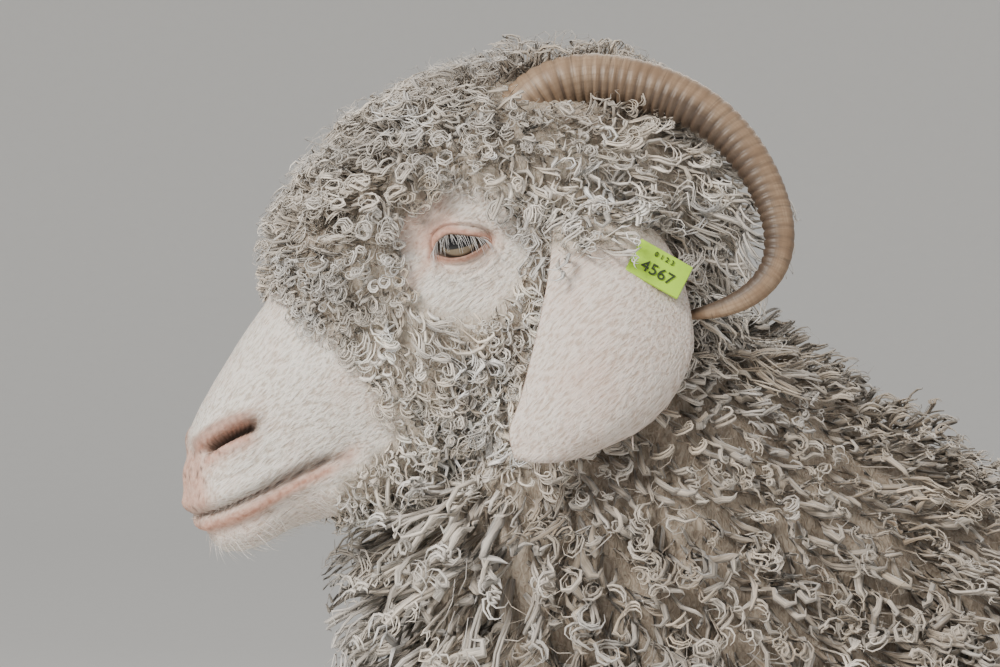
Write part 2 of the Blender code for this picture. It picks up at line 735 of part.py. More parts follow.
def keep_largest(mesh):
    """Keeps only the closed surface that holds the most."""
    bm = bmesh.new()
    bm.from_mesh(mesh)
    bmesh.ops.triangulate(bm, faces=bm.faces)
    waiting, islands = set(bm.faces), []
    while waiting:
        stack, island = [waiting.pop()], []
        while stack:
            face = stack.pop()
            island.append(face)
            for edge in face.edges:
                for other in edge.link_faces:
                    if other in waiting:
                        waiting.remove(other)
                        stack.append(other)
        volume = sum(f.verts[0].co.dot(f.verts[1].co.cross(f.verts[2].co)) for f in island)
        islands.append((volume, island))
    islands.sort(key=lambda entry: entry[0])
    scraps = [face for _, island in islands[:-1] for face in island]
    bmesh.ops.delete(bm, geom=scraps, context="FACES")
    bm.to_mesh(mesh)
    bm.free()


def dress(obj, finish):
    """Gives an object its material and smooth shading with sharp edges kept."""
    obj.data.materials.clear()
    obj.data.materials.append(material(finish))
    obj.data.shade_smooth()
    obj.data.set_sharp_from_angle(angle=math.radians(50))


def hoof_claw(name, centre_x, centre_y, sign, into):
    """One claw of a cloven hoof, flat on the floor, its toe ahead of the coronet."""
    across, along = outline(10, 2.6)
    rings = []
    for share, shrink in ((0.0, 0.94), (0.05, 1.0), (0.5, 1.0), (1.0, 0.86)):
        z = share * (CORONET_Z - GAP)
        toe = centre_x - HOOF_TOE + share * 0.017
        heel = centre_x + HOOF_HEEL + share * 0.003
        x = (toe + heel) / 2 + along * (heel - toe) / 2 * shrink
        middle = centre_y + sign * (CLEFT + CLAW_WIDTH) / 2
        pinch = 1 - 0.35 * np.clip(((toe + heel) / 2 - x) / (heel - toe), 0, 1)
        y = middle + across * CLAW_WIDTH / 2 * shrink * pinch
        rings.append(np.stack([x, y, np.full_like(x, z)], axis=-1))
    return mesh_object(name, *loft(rings), into)


def whole_goat(into):
    """The coat's core over the whole body, in one closed surface, with the bulges of the eyelids."""
    base = mesh_object("whole_goat", *grown(torso_skin(), torso_wool, CORE_SHARE), into)
    pieces = collection("body_pieces")
    mesh_object("neck", *grown(neck_skin(), neck_wool, CORE_SHARE), pieces)
    mesh_object("head", *grown(head_skin(), head_wool, CORE_SHARE), pieces)
    mesh_object("tail", *grown(tail_skin(), tail_wool, CORE_SHARE), pieces)
    for leg, profile, side in leg_list():
        mesh_object(leg, *grown(leg_skin(profile, side, STRIDE[leg]), leg_wool, CORE_SHARE), pieces)
    for side in (-1, 1):
        sphere("lids", EYE_RADIUS + LID_THICK, eye_frame(side), pieces)
    boolean(base, [("UNION", pieces)])
    wool = collection("wool")
    clumps(base, wool)
    boolean(base, [("UNION", wool)])
    return even(base)


def even(base):
    """Lays a new, even mesh over the fused surface, without slivers, and thins it, least on the face."""
    apply_modifier(base, "REMESH", mode="VOXEL", voxel_size=EVEN_SIZE)
    points = np.array([v.co[:] for v in base.data.vertices])
    u, _, w = head_axes(points)
    bare = smoothstep(FACE_FROM, FACE_FROM + FACE_BLEND, u) * (w > FACE_BELOW)
    group = base.vertex_groups.new(name="thin")
    for index, weight in enumerate(1 - (1 - FACE_THINNING) * bare):
        group.add([index], float(weight), "REPLACE")
    apply_modifier(base, "DECIMATE", ratio=THIN_RATIO, vertex_group=group.name)
    base.vertex_groups.clear()
    keep_largest(base.data)
    return base


def apply_modifier(obj, kind, **settings):
    """Gives an object's mesh one modifier with these settings, for good."""
    modifier = obj.modifiers.new(kind.title(), kind)
    for key, value in settings.items():
        setattr(modifier, key, value)
    bpy.context.view_layer.update()
    graph = bpy.context.evaluated_depsgraph_get()
    mesh = bpy.data.meshes.new_from_object(obj.evaluated_get(graph))
    obj.modifiers.clear()
    obj.data = mesh


def zone(point):
    """The zone of the coat that a point of the core lies in."""
    x, _, z = point
    for kind, (room, radii) in LEG_ROOM.items():
        if abs(x - room[0]) < radii[0] and z < room[2]:
            return "leg"
    if x > TAIL_ROOM[0][0] - TAIL_ROOM[1][0]:
        return "tail"
    if side_of(HEAD_CUT, point) > 0:
        return "head"
    return "neck" if side_of(NECK_CUT, point) > 0 else "trunk"


def side_of(cut, point):
    """How far a point lies above a cut."""
    (x, z), slope = cut
    return (point[2] - z) * math.cos(slope) - (point[0] - x) * math.sin(slope)


def wool_at(point, normal):
    """Depth of the wool at a point of the coat, from the zone that it lies in."""
    points, normals = np.array([point]), np.array([normal])
    where = zone(point)
    if where == "head":
        return float(head_wool(points, normals)[0])
    if where == "leg" and point[2] < BELLY_LINE:
        return float(leg_wool(points, normals)[0])
    if where == "tail":
        return TAIL_WOOL
    return float(neck_wool(points, normals)[0] if where == "neck" else torso_wool(points, normals)[0])


def lie(point, normal):
    """Direction in which the wool hangs at a point: down and a little back, parted along the spine."""
    part = math.copysign(0.7, point[1]) if abs(point[1]) > 1e-4 else 0.7
    ahead = -0.5 if zone(point) == "head" and normal.z > 0.3 else 0.3
    hang = Vector((ahead, part * max(0.0, normal.z), -1.0))
    along = hang - normal * hang.dot(normal)
    return along.normalized() if along.length > 0.05 else Vector((1, 0, 0))


def clump(tree, point, normal, spacing, depth, rng):
    """Rings of one rounded clump, laid along the core from its sunk root to its raised, blunt tip."""
    along = lie(point, normal)
    along = Matrix.Rotation(rng.uniform(-CLUMP_STRAY, CLUMP_STRAY), 3, normal) @ along
    length = spacing * CLUMP_LENGTH * rng.uniform(0.85, 1.15)
    width = spacing * CLUMP_WIDTH * rng.uniform(0.9, 1.15)
    thick = depth * (1 + SINK) / 2
    start = point - along * length * 0.5
    turn = np.linspace(0, 2 * math.pi, CLUMP_SIDES, endpoint=False) + math.pi / 2 + rng.uniform(-0.3, 0.3)
    rings, here, last = [], start, 0.0
    for station, wide, tall, height in CLUMP_STATIONS:
        here = here + along * length * (station - last)
        here, normal, _, _ = tree.find_nearest(here)
        along = (along - normal * along.dot(normal)).normalized()
        last = station
        across = normal.cross(along)
        middle = here + normal * depth * ((1 - SINK) / 2 + height)
        ring = []
        for angle in turn:
            rise = normal * math.sin(angle) * thick * tall
            ring.append(middle + across * math.cos(angle) * width * wide / 2 + rise)
        rings.append(ring)
    return rings


def clumps(whole, into):
    """Spreads clumps evenly over the woolly core, each with its root sunk in it."""
    rng = np.random.default_rng(SEED)
    bm = bmesh.new()
    bm.from_mesh(whole.data)
    bmesh.ops.triangulate(bm, faces=bm.faces)
    tree = BVHTree.FromBMesh(bm)
    corners = np.array([[v.co[:] for v in f.verts] for f in bm.faces])
    bm.free()
    crosses = np.cross(corners[:, 1] - corners[:, 0], corners[:, 2] - corners[:, 0])
    areas = np.linalg.norm(crosses, axis=1)
    chosen = rng.choice(len(areas), CANDIDATES, p=areas / areas.sum())
    mix = rng.random((CANDIDATES, 2))
    mix[mix.sum(axis=1) > 1] = 1 - mix[mix.sum(axis=1) > 1]
    kept, spacings = [], []
    for face, (a, b) in zip(chosen, mix):
        corner = corners[face]
        point = corner[0] + a * (corner[1] - corner[0]) + b * (corner[2] - corner[0])
        normal = crosses[face] / areas[face]
        spacing = CLUMP_SPACING[zone(point)]
        depth = wool_at(point, normal) * (1 - CORE_SHARE)
        low = point[2] < SHANK_TOP["hindleg" if point[0] > 0 else "foreleg"] + CLEAR_OF_SHANK
        if depth < LEAST_WOOL or low:
            continue
        if kept and (np.linalg.norm(np.array(kept) - point, axis=1) < (np.array(spacings) + spacing) / 2).any():
            continue
        kept.append(point)
        spacings.append(spacing)
        rings = clump(tree, Vector(point), Vector(normal), spacing, depth, rng)
        mesh_object("clump", *loft(rings, dome=CLUMP_DOME), into)


def leg_list():
    """Name, profile and side of each leg."""
    for kind, profile in (("foreleg", FORELEG), ("hindleg", HINDLEG)):
        for side, word in SIDES:
            yield f"{kind}_{word}", profile, side


def node(name, source, steps, into, finish):
    """A node: a copy of the source cut by these steps."""
    obj = bpy.data.objects.new(name, source.data.copy())
    into.objects.link(obj)
    boolean(obj, steps)
    dress(obj, finish)
    return obj


def ear_and_horn_cuts(tools):
    """Steps that cut away the room of the ears, the horns and the tag."""
    steps = []
    for side, word in SIDES:
        steps.append(("DIFFERENCE", ear(f"ear_room_{word}", side, GAP, tools)))
        steps.append(("DIFFERENCE", horn(f"horn_room_{word}", side, GAP, tools)))
    steps.append(("DIFFERENCE", ear_tag("tag_room", GAP, tools)))
    return steps


def head_details(tools):
    """Steps that cut the eye sockets, the openings of the lids, the nostrils and the line of the mouth."""
    steps = []
    for side, word in SIDES:
        steps.append(("DIFFERENCE", sphere(f"socket_{word}", EYE_RADIUS + GAP, eye_frame(side), tools)))
        steps.append(("DIFFERENCE", lid_opening(f"lid_opening_{word}", side, tools)))
        steps.append(("DIFFERENCE", nostril(f"nostril_room_{word}", side, tools)))
    steps.append(("DIFFERENCE", mouth_slit(tools)))
    return steps


def trunk_nodes(whole, goat, tools):
    """The head, neck, torso, upper legs and tail, cut from the whole goat."""
    head_side = half_space("above_head_cut", HEAD_CUT, True, tools)
    body_side = half_space("below_head_cut", HEAD_CUT, False, tools)
    neck_side = half_space("above_neck_cut", NECK_CUT, True, tools)
    trunk_side = half_space("below_neck_cut", NECK_CUT, False, tools)
    clear = ear_and_horn_cuts(tools)
    node("head", whole, [("INTERSECT", head_side)] + clear + head_details(tools), goat, "fleece")
    node("neck", whole, [("INTERSECT", body_side), ("INTERSECT", neck_side)] + clear, goat, "fleece")
    rooms = [("DIFFERENCE", tail_room("tail_room", GAP / 2, tools))]
    for leg, _, side in leg_list():
        kind = leg.split("_")[0]
        rooms.append(("DIFFERENCE", leg_room(f"{leg}_room", kind, side, GAP / 2, tools)))
        inner = leg_room(f"{leg}_share", kind, side, -GAP / 2, tools)
        above = half_space(f"{leg}_above", ((0, SHANK_TOP[kind]), 0), True, tools)
        node(f"{leg}_upper", whole, [("INTERSECT", inner), ("INTERSECT", above)], goat, "fleece")
    node("torso", whole, [("INTERSECT", trunk_side)] + rooms, goat, "fleece")
    inner = tail_room("tail_share", -GAP / 2, tools)
    node("tail", whole, [("INTERSECT", inner)], goat, "fleece")


def lower_legs(goat, tools):
    """The short-haired lower legs with their dewclaws, and the two claws of each hoof."""
    for leg, profile, side in leg_list():
        kind = leg.split("_")[0]
        shape = grown(leg_skin(profile, side, STRIDE[leg]), leg_wool, 1.0)
        base = mesh_object(f"{leg}_lower", *shape, goat)
        pieces = collection("dewclaws")
        table = np.array(profile).T
        order = np.argsort(table[2])
        x, off, depth = (np.interp(DEWCLAW_Z, table[2][order], table[i][order]) for i in (0, 1, 3))
        x += STRIDE[leg] * (1 - smoothstep(0, STRIDE_TOP, DEWCLAW_Z))
        for sign in (-1, 1):
            bm = bmesh.new()
            place = Matrix.Translation((x + depth, side * off + sign * DEWCLAW_APART, DEWCLAW_Z))
            place = place @ Matrix.Rotation(math.radians(-35), 4, "Y")
            bmesh.ops.create_cone(
                bm,
                cap_ends=True,
                segments=7,
                radius1=DEWCLAW_RADIUS,
                radius2=DEWCLAW_RADIUS * 0.7,
                depth=DEWCLAW_RADIUS * 2.5,
                matrix=place,
            )
            bmesh_object("dewclaw", bm, pieces)
        below = half_space(f"{leg}_below", ((0, SHANK_TOP[kind]), 0), False, tools)
        coronet = half_space(f"{leg}_coronet", ((0, CORONET_Z), 0), True, tools)
        steps = [("UNION", pieces), ("INTERSECT", below), ("INTERSECT", coronet)]
        dress(boolean(base, steps), "face")
        foot_x = profile[-1][0] + STRIDE[leg]
        for sign, word in ((-side, "inner"), (side, "outer")):
            claw = hoof_claw(f"hoof_{leg}_{word}", foot_x, side * profile[-1][1], sign, goat)
            dress(claw, "hoof")


def head_pieces(goat):
    """The ears, horns, eyes and the ear tag."""
    hole = collection("tag_hole")
    ear_tag("tag_hole", GAP, hole)
    for side, word in SIDES:
        leaf = ear(f"ear_{word}", side, 0.0, goat)
        if side < 0:
            boolean(leaf, [("DIFFERENCE", hole)])
        dress(leaf, "face")
        dress(horn(f"horn_{word}", side, 0.0, goat), "horn")
        dress(sphere(f"eye_{word}", EYE_RADIUS, eye_frame(side), goat), "eye")
    dress(ear_tag("ear_tag", 0.0, goat), "tag")


def set_on_floor(goat):
    """Slides the goat so that its box is centred on the origin, with the floor at z = 0."""
    corners = np.array([v.co[:] for obj in goat.objects for v in obj.data.vertices])
    low, high = corners.min(axis=0), corners.max(axis=0)
    shift = Matrix.Translation((-(low[0] + high[0]) / 2, -(low[1] + high[1]) / 2, -low[2]))
    for obj in goat.objects:
        obj.data.transform(shift)


def main():
    """Builds the goat."""
    clear_scene()
    goat = collection("angora_goat")
    tools = collection("cutters")
    whole = whole_goat(tools)
    trunk_nodes(whole, goat, tools)
    lower_legs(goat, tools)
    head_pieces(goat)
    set_on_floor(goat)
    for obj in list(tools.objects):
        bpy.data.objects.remove(obj)
    bpy.data.collections.remove(tools)


main()
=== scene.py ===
"""A standing angora goat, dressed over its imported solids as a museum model."""
import logging
import math
from dataclasses import dataclass, replace
from enum import Enum
from typing import Callable, Iterable, Sequence

import bmesh
import bpy
import numpy as np
from mathutils import Matrix, Vector
from mathutils.bvhtree import BVHTree


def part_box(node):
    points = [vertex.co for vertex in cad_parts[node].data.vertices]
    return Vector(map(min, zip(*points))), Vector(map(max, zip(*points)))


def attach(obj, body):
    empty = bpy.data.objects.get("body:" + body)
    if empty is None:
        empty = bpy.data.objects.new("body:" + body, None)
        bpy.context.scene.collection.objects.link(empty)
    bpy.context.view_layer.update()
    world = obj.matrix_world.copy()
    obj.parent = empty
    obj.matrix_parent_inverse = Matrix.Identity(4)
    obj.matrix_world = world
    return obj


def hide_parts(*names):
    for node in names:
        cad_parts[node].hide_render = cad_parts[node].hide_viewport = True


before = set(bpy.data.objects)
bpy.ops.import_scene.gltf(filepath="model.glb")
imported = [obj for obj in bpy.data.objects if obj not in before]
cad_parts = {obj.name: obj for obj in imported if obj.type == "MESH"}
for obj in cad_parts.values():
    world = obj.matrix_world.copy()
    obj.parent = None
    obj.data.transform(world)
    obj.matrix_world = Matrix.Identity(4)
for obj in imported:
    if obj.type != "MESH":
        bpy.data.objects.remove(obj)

LOG = logging.getLogger("goat")
Array = np.ndarray
Triple = tuple[float, float, float]
Colour = Triple
Table = tuple[tuple[float, ...], ...]
Piece = bpy.types.Object
Socket = bpy.types.NodeSocket
Material = bpy.types.Material

HEAD_AT = (-0.520, 0.785)
HEAD_PITCH = math.radians(38)
EYE_AT = (0.002, 0.0350, 0.001)
EYE_RADIUS = 0.0150
HEAD_CUT = (-0.450, 0.715, math.radians(33))
NECK_CUT = (-0.355, 0.571, math.radians(31.7))
SIDES = ((-1, "left"), (1, "right"))
STRIDES = {("foreleg", -1): -0.012, ("foreleg", 1): 0.014, ("hindleg", -1): 0.012, ("hindleg", 1): -0.016}
FELT_SHARE = 0.34
MOST_FACES = 190000


class Zone(Enum):
    """A part of the body with its own coat."""

    TOPKNOT = "topknot"
    CHEEK = "cheek"
    NECK = "neck"
    TRUNK = "trunk"
    LEG = "leg"
    TAIL = "tail"
    MANE = "mane"


FULL_DEPTH = {
    Zone.TOPKNOT: 0.033,
    Zone.CHEEK: 0.016,
    Zone.NECK: 0.050,
    Zone.TRUNK: 0.052,
    Zone.LEG: 0.024,
    Zone.TAIL: 0.016,
    Zone.MANE: 0.024,
}


# Shared geometry


def ease(low: float, high: float, value: Array | float) -> Array | float:
    """0 below low, 1 above high, and a smooth rise between."""
    t = np.clip((np.asarray(value, float) - low) / (high - low), 0, 1)
    return t * t * (3 - 2 * t)


def bell(value: Array | float, width: float) -> Array | float:
    """A smooth bump of height 1 at 0."""
    return np.exp(-((np.asarray(value, float) / width) ** 2))


def between(rise: tuple[float, float], fall: tuple[float, float], value: Array) -> Array:
    """1 from the end of the rise to the start of the fall, and 0 outside them."""
    return ease(*rise, value) * (1 - ease(*fall, value))


def unit(vectors: Array) -> Array:
    """The vectors at length 1."""
    return vectors / np.maximum(np.linalg.norm(vectors, axis=-1, keepdims=True), 1e-9)


def flattened(vectors: Array, normals: Array) -> Array:
    """The vectors without their share along the normals."""
    return vectors - normals * (vectors * normals).sum(-1, keepdims=True)


def power(value: Array, exponent: float) -> Array:
    """A signed power, for superellipses."""
    return np.sign(value) * np.abs(value) ** exponent


def outline(sides: int, squareness: float = 2.0) -> tuple[Array, Array]:
    """Cosine and sine of a superellipse's points, the last on the first.

    Args:
        sides: How many sides the outline has.
        squareness: 2 for an ellipse, more for a squarer form.

    Returns:
        The two coordinates of each point.
    """
    turn = np.linspace(0, 2 * math.pi, sides + 1)
    return power(np.cos(turn), 2 / squareness), power(np.sin(turn), 2 / squareness)


def smooth_curve(at: Array, xs: Sequence[float], ys: Sequence[float]) -> Array:
    """A smooth curve through table points that never overshoots them.

    Args:
        at: Where the curve is read.
        xs: Rising places of the table's points.
        ys: Their values.

    Returns:
        The curve's values.
    """
    xs, ys = np.asarray(xs, float), np.asarray(ys, float)
    steps = np.diff(xs)
    slopes = np.diff(ys) / steps
    before, after = slopes[:-1], slopes[1:]
    inner = np.where(before * after > 0, 2 * before * after / (before + after + 1e-12), 0.0)
    tangents = np.concatenate([[slopes[0]], inner, [slopes[-1]]])
    i = np.clip(np.searchsorted(xs, at) - 1, 0, len(steps) - 1)
    t = np.clip((at - xs[i]) / steps[i], 0, 1)
    a, b, c = 2 * t**3 - 3 * t**2 + 1, t**3 - 2 * t**2 + t, t**3 - t**2
    start = a * ys[i] + b * steps[i] * tangents[i]
    return start + (1 - a) * ys[i + 1] + c * steps[i] * tangents[i + 1]


def smooth_table(table: Array, count: int) -> Array:
    """Rows of a table drawn out to more rows along smooth curves.

    Args:
        table: One row a station, of any columns.
        count: Rows in the result.

    Returns:
        The denser table.
    """
    at = np.arange(len(table), dtype=float)
    share = np.linspace(0, len(table) - 1, count)
    return np.stack([smooth_curve(share, at, column) for column in np.asarray(table, float).T], axis=-1)


def head_point(u: Array, v: Array, w: Array) -> Array:
    """World points, before the shift, of points in head axes: u forward, v to the side, w up."""
    c, s = math.cos(HEAD_PITCH), math.sin(HEAD_PITCH)
    x = HEAD_AT[0] - u * c - w * s
    z = HEAD_AT[1] - u * s + w * c
    return np.stack(np.broadcast_arrays(x, np.asarray(v, float), z), axis=-1)


def head_axes(points: Array) -> tuple[Array, Array, Array]:
    """The u, v and w of world points, before the shift."""
    c, s = math.cos(HEAD_PITCH), math.sin(HEAD_PITCH)
    dx, dz = points[:, 0] - HEAD_AT[0], points[:, 2] - HEAD_AT[1]
    return -dx * c - dz * s, points[:, 1], -dx * s + dz * c


def above(cut: Triple, points: Array) -> Array:
    """How far points lie above a cut through the body: its x, z and slope."""
    x, z, slope = cut
    return (points[:, 2] - z) * math.cos(slope) - (points[:, 0] - x) * math.sin(slope)


def head_turn(points: Array) -> Array:
    """The angle of points round the head, up from its widest line."""
    u, v, w = head_axes(points)
    return np.arctan2(w - np.interp(u, HEAD.u, HEAD.level), np.abs(v))


def frame_shift() -> Array:
    """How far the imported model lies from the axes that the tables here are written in."""
    low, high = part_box("eye_left")
    u, v, w = EYE_AT
    return np.array((low + high) / 2) - head_point(u, -v, w)


SHIFT = frame_shift()


def deselect() -> None:
    """Leaves nothing selected and no mesh in edit mode."""
    if bpy.context.object and bpy.context.object.mode != "OBJECT":
        bpy.ops.object.mode_set(mode="OBJECT")
    bpy.ops.object.select_all(action="DESELECT")


def select_only(obj: Piece) -> None:
    """Selects one object and makes it the active one."""
    deselect()
    bpy.context.view_layer.objects.active = obj
    obj.select_set(True)


def linked(name: str, data: bpy.types.ID) -> Piece:
    """A new object of this data, in the scene."""
    obj = bpy.data.objects.new(name, data)
    bpy.context.scene.collection.objects.link(obj)
    return obj


def read(items: bpy.types.bpy_prop_collection, name: str, width: int, kind: type = np.float32) -> Array:
    """One property of every item, a row each."""
    values = np.empty(len(items) * width, kind)
    items.foreach_get(name, values)
    return values.reshape(-1, width)


def points_of(obj: Piece) -> Array:
    """The places of an object's vertices."""
    return read(obj.data.vertices, "co", 3).astype(float)


def normals_of(obj: Piece) -> Array:
    """The normals of an object's vertices."""
    return read(obj.data.vertices, "normal", 3).astype(float)


def place_points(obj: Piece, points: Array) -> None:
    """Puts an object's vertices at these places."""
    obj.data.vertices.foreach_set("co", np.ascontiguousarray(points, float).ravel())
    obj.data.update()


def tube(name: str, rings: Array) -> Piece:
    """Shapes a grid into a tube, closed where its first and last rings meet in a point.

    Args:
        name: The object's name.
        rings: Points of each ring, the last of a ring on its first.

    Returns:
        The tube, its faces outward.
    """
    deselect()
    count, around = rings.shape[:2]
    bpy.ops.mesh.primitive_grid_add(x_subdivisions=around - 1, y_subdivisions=count - 1, size=1)
    obj = bpy.context.object
    obj.name = name
    place_points(obj, rings.reshape(-1, 3))
    bpy.ops.object.mode_set(mode="EDIT")
    bpy.ops.mesh.select_all(action="SELECT")
    bpy.ops.mesh.remove_doubles(threshold=1e-6)
    bpy.ops.mesh.normals_make_consistent(inside=False)
    bpy.ops.object.mode_set(mode="OBJECT")
    bpy.ops.object.shade_smooth()
    return obj


def with_ends(rings: Array, dome: float = 0.5, steps: int = 4) -> Array:
    """Adds shrinking rings and a point at both ends of a tube.

    Args:
        rings: Points of each ring.
        dome: How far an end bulges, as a share of its half size.
        steps: Rings added at each end.

    Returns:
        The rings with rounded ends.
    """
    def end(ring: Array, inner: Array) -> list[Array]:
        middle, before = ring.mean(0), inner.mean(0)
        out = unit(middle - before)
        reach = np.linalg.norm(ring - middle, axis=-1).mean() * dome
        turn = np.linspace(0, math.pi / 2, steps + 1)[1:]
        return [middle + (ring - middle) * max(math.cos(t), 0.0) + out * reach * math.sin(t) for t in turn]

    first, last = end(rings[0], rings[1]), end(rings[-1], rings[-2])
    first[-1][:], last[-1][:] = first[-1].mean(0), last[-1].mean(0)
    return np.array(first[::-1] + list(rings) + last)


def apply_modifier(obj: Piece, kind: str, **settings: object) -> None:
    """Adds one modifier with these settings and applies it."""
    select_only(obj)
    modifier = obj.modifiers.new(kind.title(), kind)
    for key, value in settings.items():
        setattr(modifier, key, value)
    bpy.ops.object.modifier_apply(modifier=modifier.name)


def join(pieces: Sequence[Piece], name: str) -> Piece:
    """Joins objects into the first of them."""
    deselect()
    for piece in pieces:
        piece.select_set(True)
    bpy.context.view_layer.objects.active = pieces[0]
    bpy.ops.object.join()
    pieces[0].name = name
    return pieces[0]


def paint(obj: Piece, name: str, values: Array) -> None:
    """Stores one colour a vertex as an attribute.

    Args:
        obj: The object.
        name: The attribute's name.
        values: Three or four channels for each vertex.
    """
    if values.shape[1] == 3:
        values = np.concatenate([values, np.ones((len(values), 1))], axis=1)
    layer = obj.data.attributes.get(name) or obj.data.attributes.new(name, "FLOAT_COLOR", "POINT")
    layer.data.foreach_set("color", values.astype(np.float32).ravel())


def unwrap(obj: Piece) -> None:
    """Gives an object one fresh smart-projected map, OFBake."""
    select_only(obj)
    while obj.data.uv_layers:
        obj.data.uv_layers.remove(obj.data.uv_layers[0])
    obj.data.uv_layers.new(name="OFBake")
    bpy.ops.object.mode_set(mode="EDIT")
    bpy.ops.mesh.select_all(action="SELECT")
    bpy.ops.uv.smart_project(angle_limit=math.radians(66), island_margin=0.002)
    bpy.ops.object.mode_set(mode="OBJECT")


def finish_piece(obj: Piece, material: Material, nodes: Iterable[str] = ()) -> None:
    """Dresses a piece, lets it ride on the body and hides the solids that it stands for.

    Args:
        obj: The piece.
        material: Its finish.
        nodes: The CAD nodes that it replaces.
    """
    obj.data.materials.clear()
    obj.data.materials.append(material)
    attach(obj, "root")
    nodes = list(nodes)
    if nodes:
        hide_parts(*nodes)
    LOG.info("%s: %d vertices", obj.name, len(obj.data.vertices))


# Finishes


class Shader:
    """A material's nodes, added one by one and linked as they come."""

    def __init__(self, name: str) -> None:
        """Starts a material with a bare shader."""
        self.material = bpy.data.materials.new(name)
        self.material.use_nodes = True
        self.tree = self.material.node_tree
        self.bsdf = self.tree.nodes["Principled BSDF"]

    def node(
        self, kind: str, inputs: dict | None = None, output: int | str = 0, **settings: object
    ) -> Socket:
        """Adds a node.

        Args:
            kind: The node's type, without its prefix.
            inputs: What each of its inputs takes: a socket or a value.
            output: Which output is wanted.
            settings: Properties of the node.

        Returns:
            That output.
        """
        node = self.tree.nodes.new("ShaderNode" + kind)
        for key, value in settings.items():
            setattr(node, key, value)
        for key, value in (inputs or {}).items():
            self.feed(node.inputs[key], value)
        return node.outputs[output]

    def feed(self, socket: Socket, value: object) -> None:
        """Links a socket to another, or sets its value."""
        if isinstance(value, Socket):
            self.tree.links.new(value, socket)
        elif isinstance(value, tuple) and len(value) == 3 and socket.type == "RGBA":
            socket.default_value = (*value, 1.0)
        else:
            socket.default_value = value

    def shade(self, **inputs: object) -> None:
        """Feeds the shader's own sockets, with an underscore for each space."""
        for key, value in inputs.items():
            self.feed(self.bsdf.inputs[key.replace("_", " ")], value)

    def place(self) -> Socket:
        """The object's own coordinates."""
        return self.node("TexCoord", output="Object")

    def noise(self, vector: Socket, scale: float, detail: float = 3.0, roughness: float = 0.55) -> Socket:
        """A noise pattern's strength."""
        inputs = {"Vector": vector, "Scale": scale, "Detail": detail, "Roughness": roughness}
        return self.node("TexNoise", inputs, "Fac")

    def stretched(self, vector: Socket, scale: Triple, turn: Triple = (0, 0, 0)) -> Socket:
        """Coordinates drawn out or turned."""
        return self.node("Mapping", {"Vector": vector, "Scale": scale, "Rotation": turn})

    def ramp(self, factor: object, *stops: tuple[float, Colour | float]) -> Socket:
        """A colour that runs through these stops."""
        output = self.node("ValToRGB", {"Fac": factor})
        steps = output.node.color_ramp.elements
        while len(steps) < len(stops):
            steps.new(0.5)
        for step, (place, colour) in zip(steps, stops):
            colour = (colour,) * 3 if isinstance(colour, float) else colour
            step.position, step.color = place, (*colour, 1.0)
        return output

    def mix(self, factor: object, a: object, b: object, blend: str = "MIX") -> Socket:
        """Two colours mixed."""
        return self.node("Mix", {0: factor, 6: a, 7: b}, 2, data_type="RGBA", blend_type=blend)

    def maths(self, operation: str, a: object, b: object = 0.0) -> Socket:
        """Two numbers worked on."""
        return self.node("Math", {0: a, 1: b}, operation=operation)

    def bump(self, height: Socket, depth: float, strength: float) -> Socket:
        """A bumped normal."""
        return self.node("Bump", {"Height": height, "Distance": depth, "Strength": strength})

    def channels(self, name: str) -> list[Socket]:
        """The red, green, blue and alpha of a painted attribute."""
        colour = self.node("Attribute", output="Color", attribute_name=name)
        node = self.node("SeparateColor", {"Color": colour}).node
        return [*node.outputs, colour.node.outputs["Alpha"]]


@dataclass(frozen=True)
class WoolFinish:
    """Locks of mohair: painted tints, with fine fibres drawn along each strand and painted shade in the gaps
    between the fibres.
    """

    name: str = "mohair"
    fibres: float = 1.3
    roughness: float = 0.62

    def build(self) -> Material:
        """Makes the material."""
        shader = Shader(self.name)
        tint = shader.node("Attribute", output="Color", attribute_name="tint")
        along = shader.node("UVMap", uv_map="strand")
        streaks = shader.noise(shader.stretched(along, (self.fibres, 0.06, 1.0)), 1.0, 2.0)
        # The fibre streaks lighten the fibres and darken the gaps between them as painted shade.
        depth = shader.ramp(streaks, (0.38, 0.60), (0.50, 0.97), (0.62, 1.18))
        shader.shade(
            Base_Color=shader.mix(1.0, tint, depth, "MULTIPLY"),
            Roughness=self.roughness,
            Sheen_Weight=0.5,
            Sheen_Roughness=0.5,
            Specular_IOR_Level=0.25,
            Normal=shader.bump(streaks, 0.0006, 0.8),
        )
        return shader.material


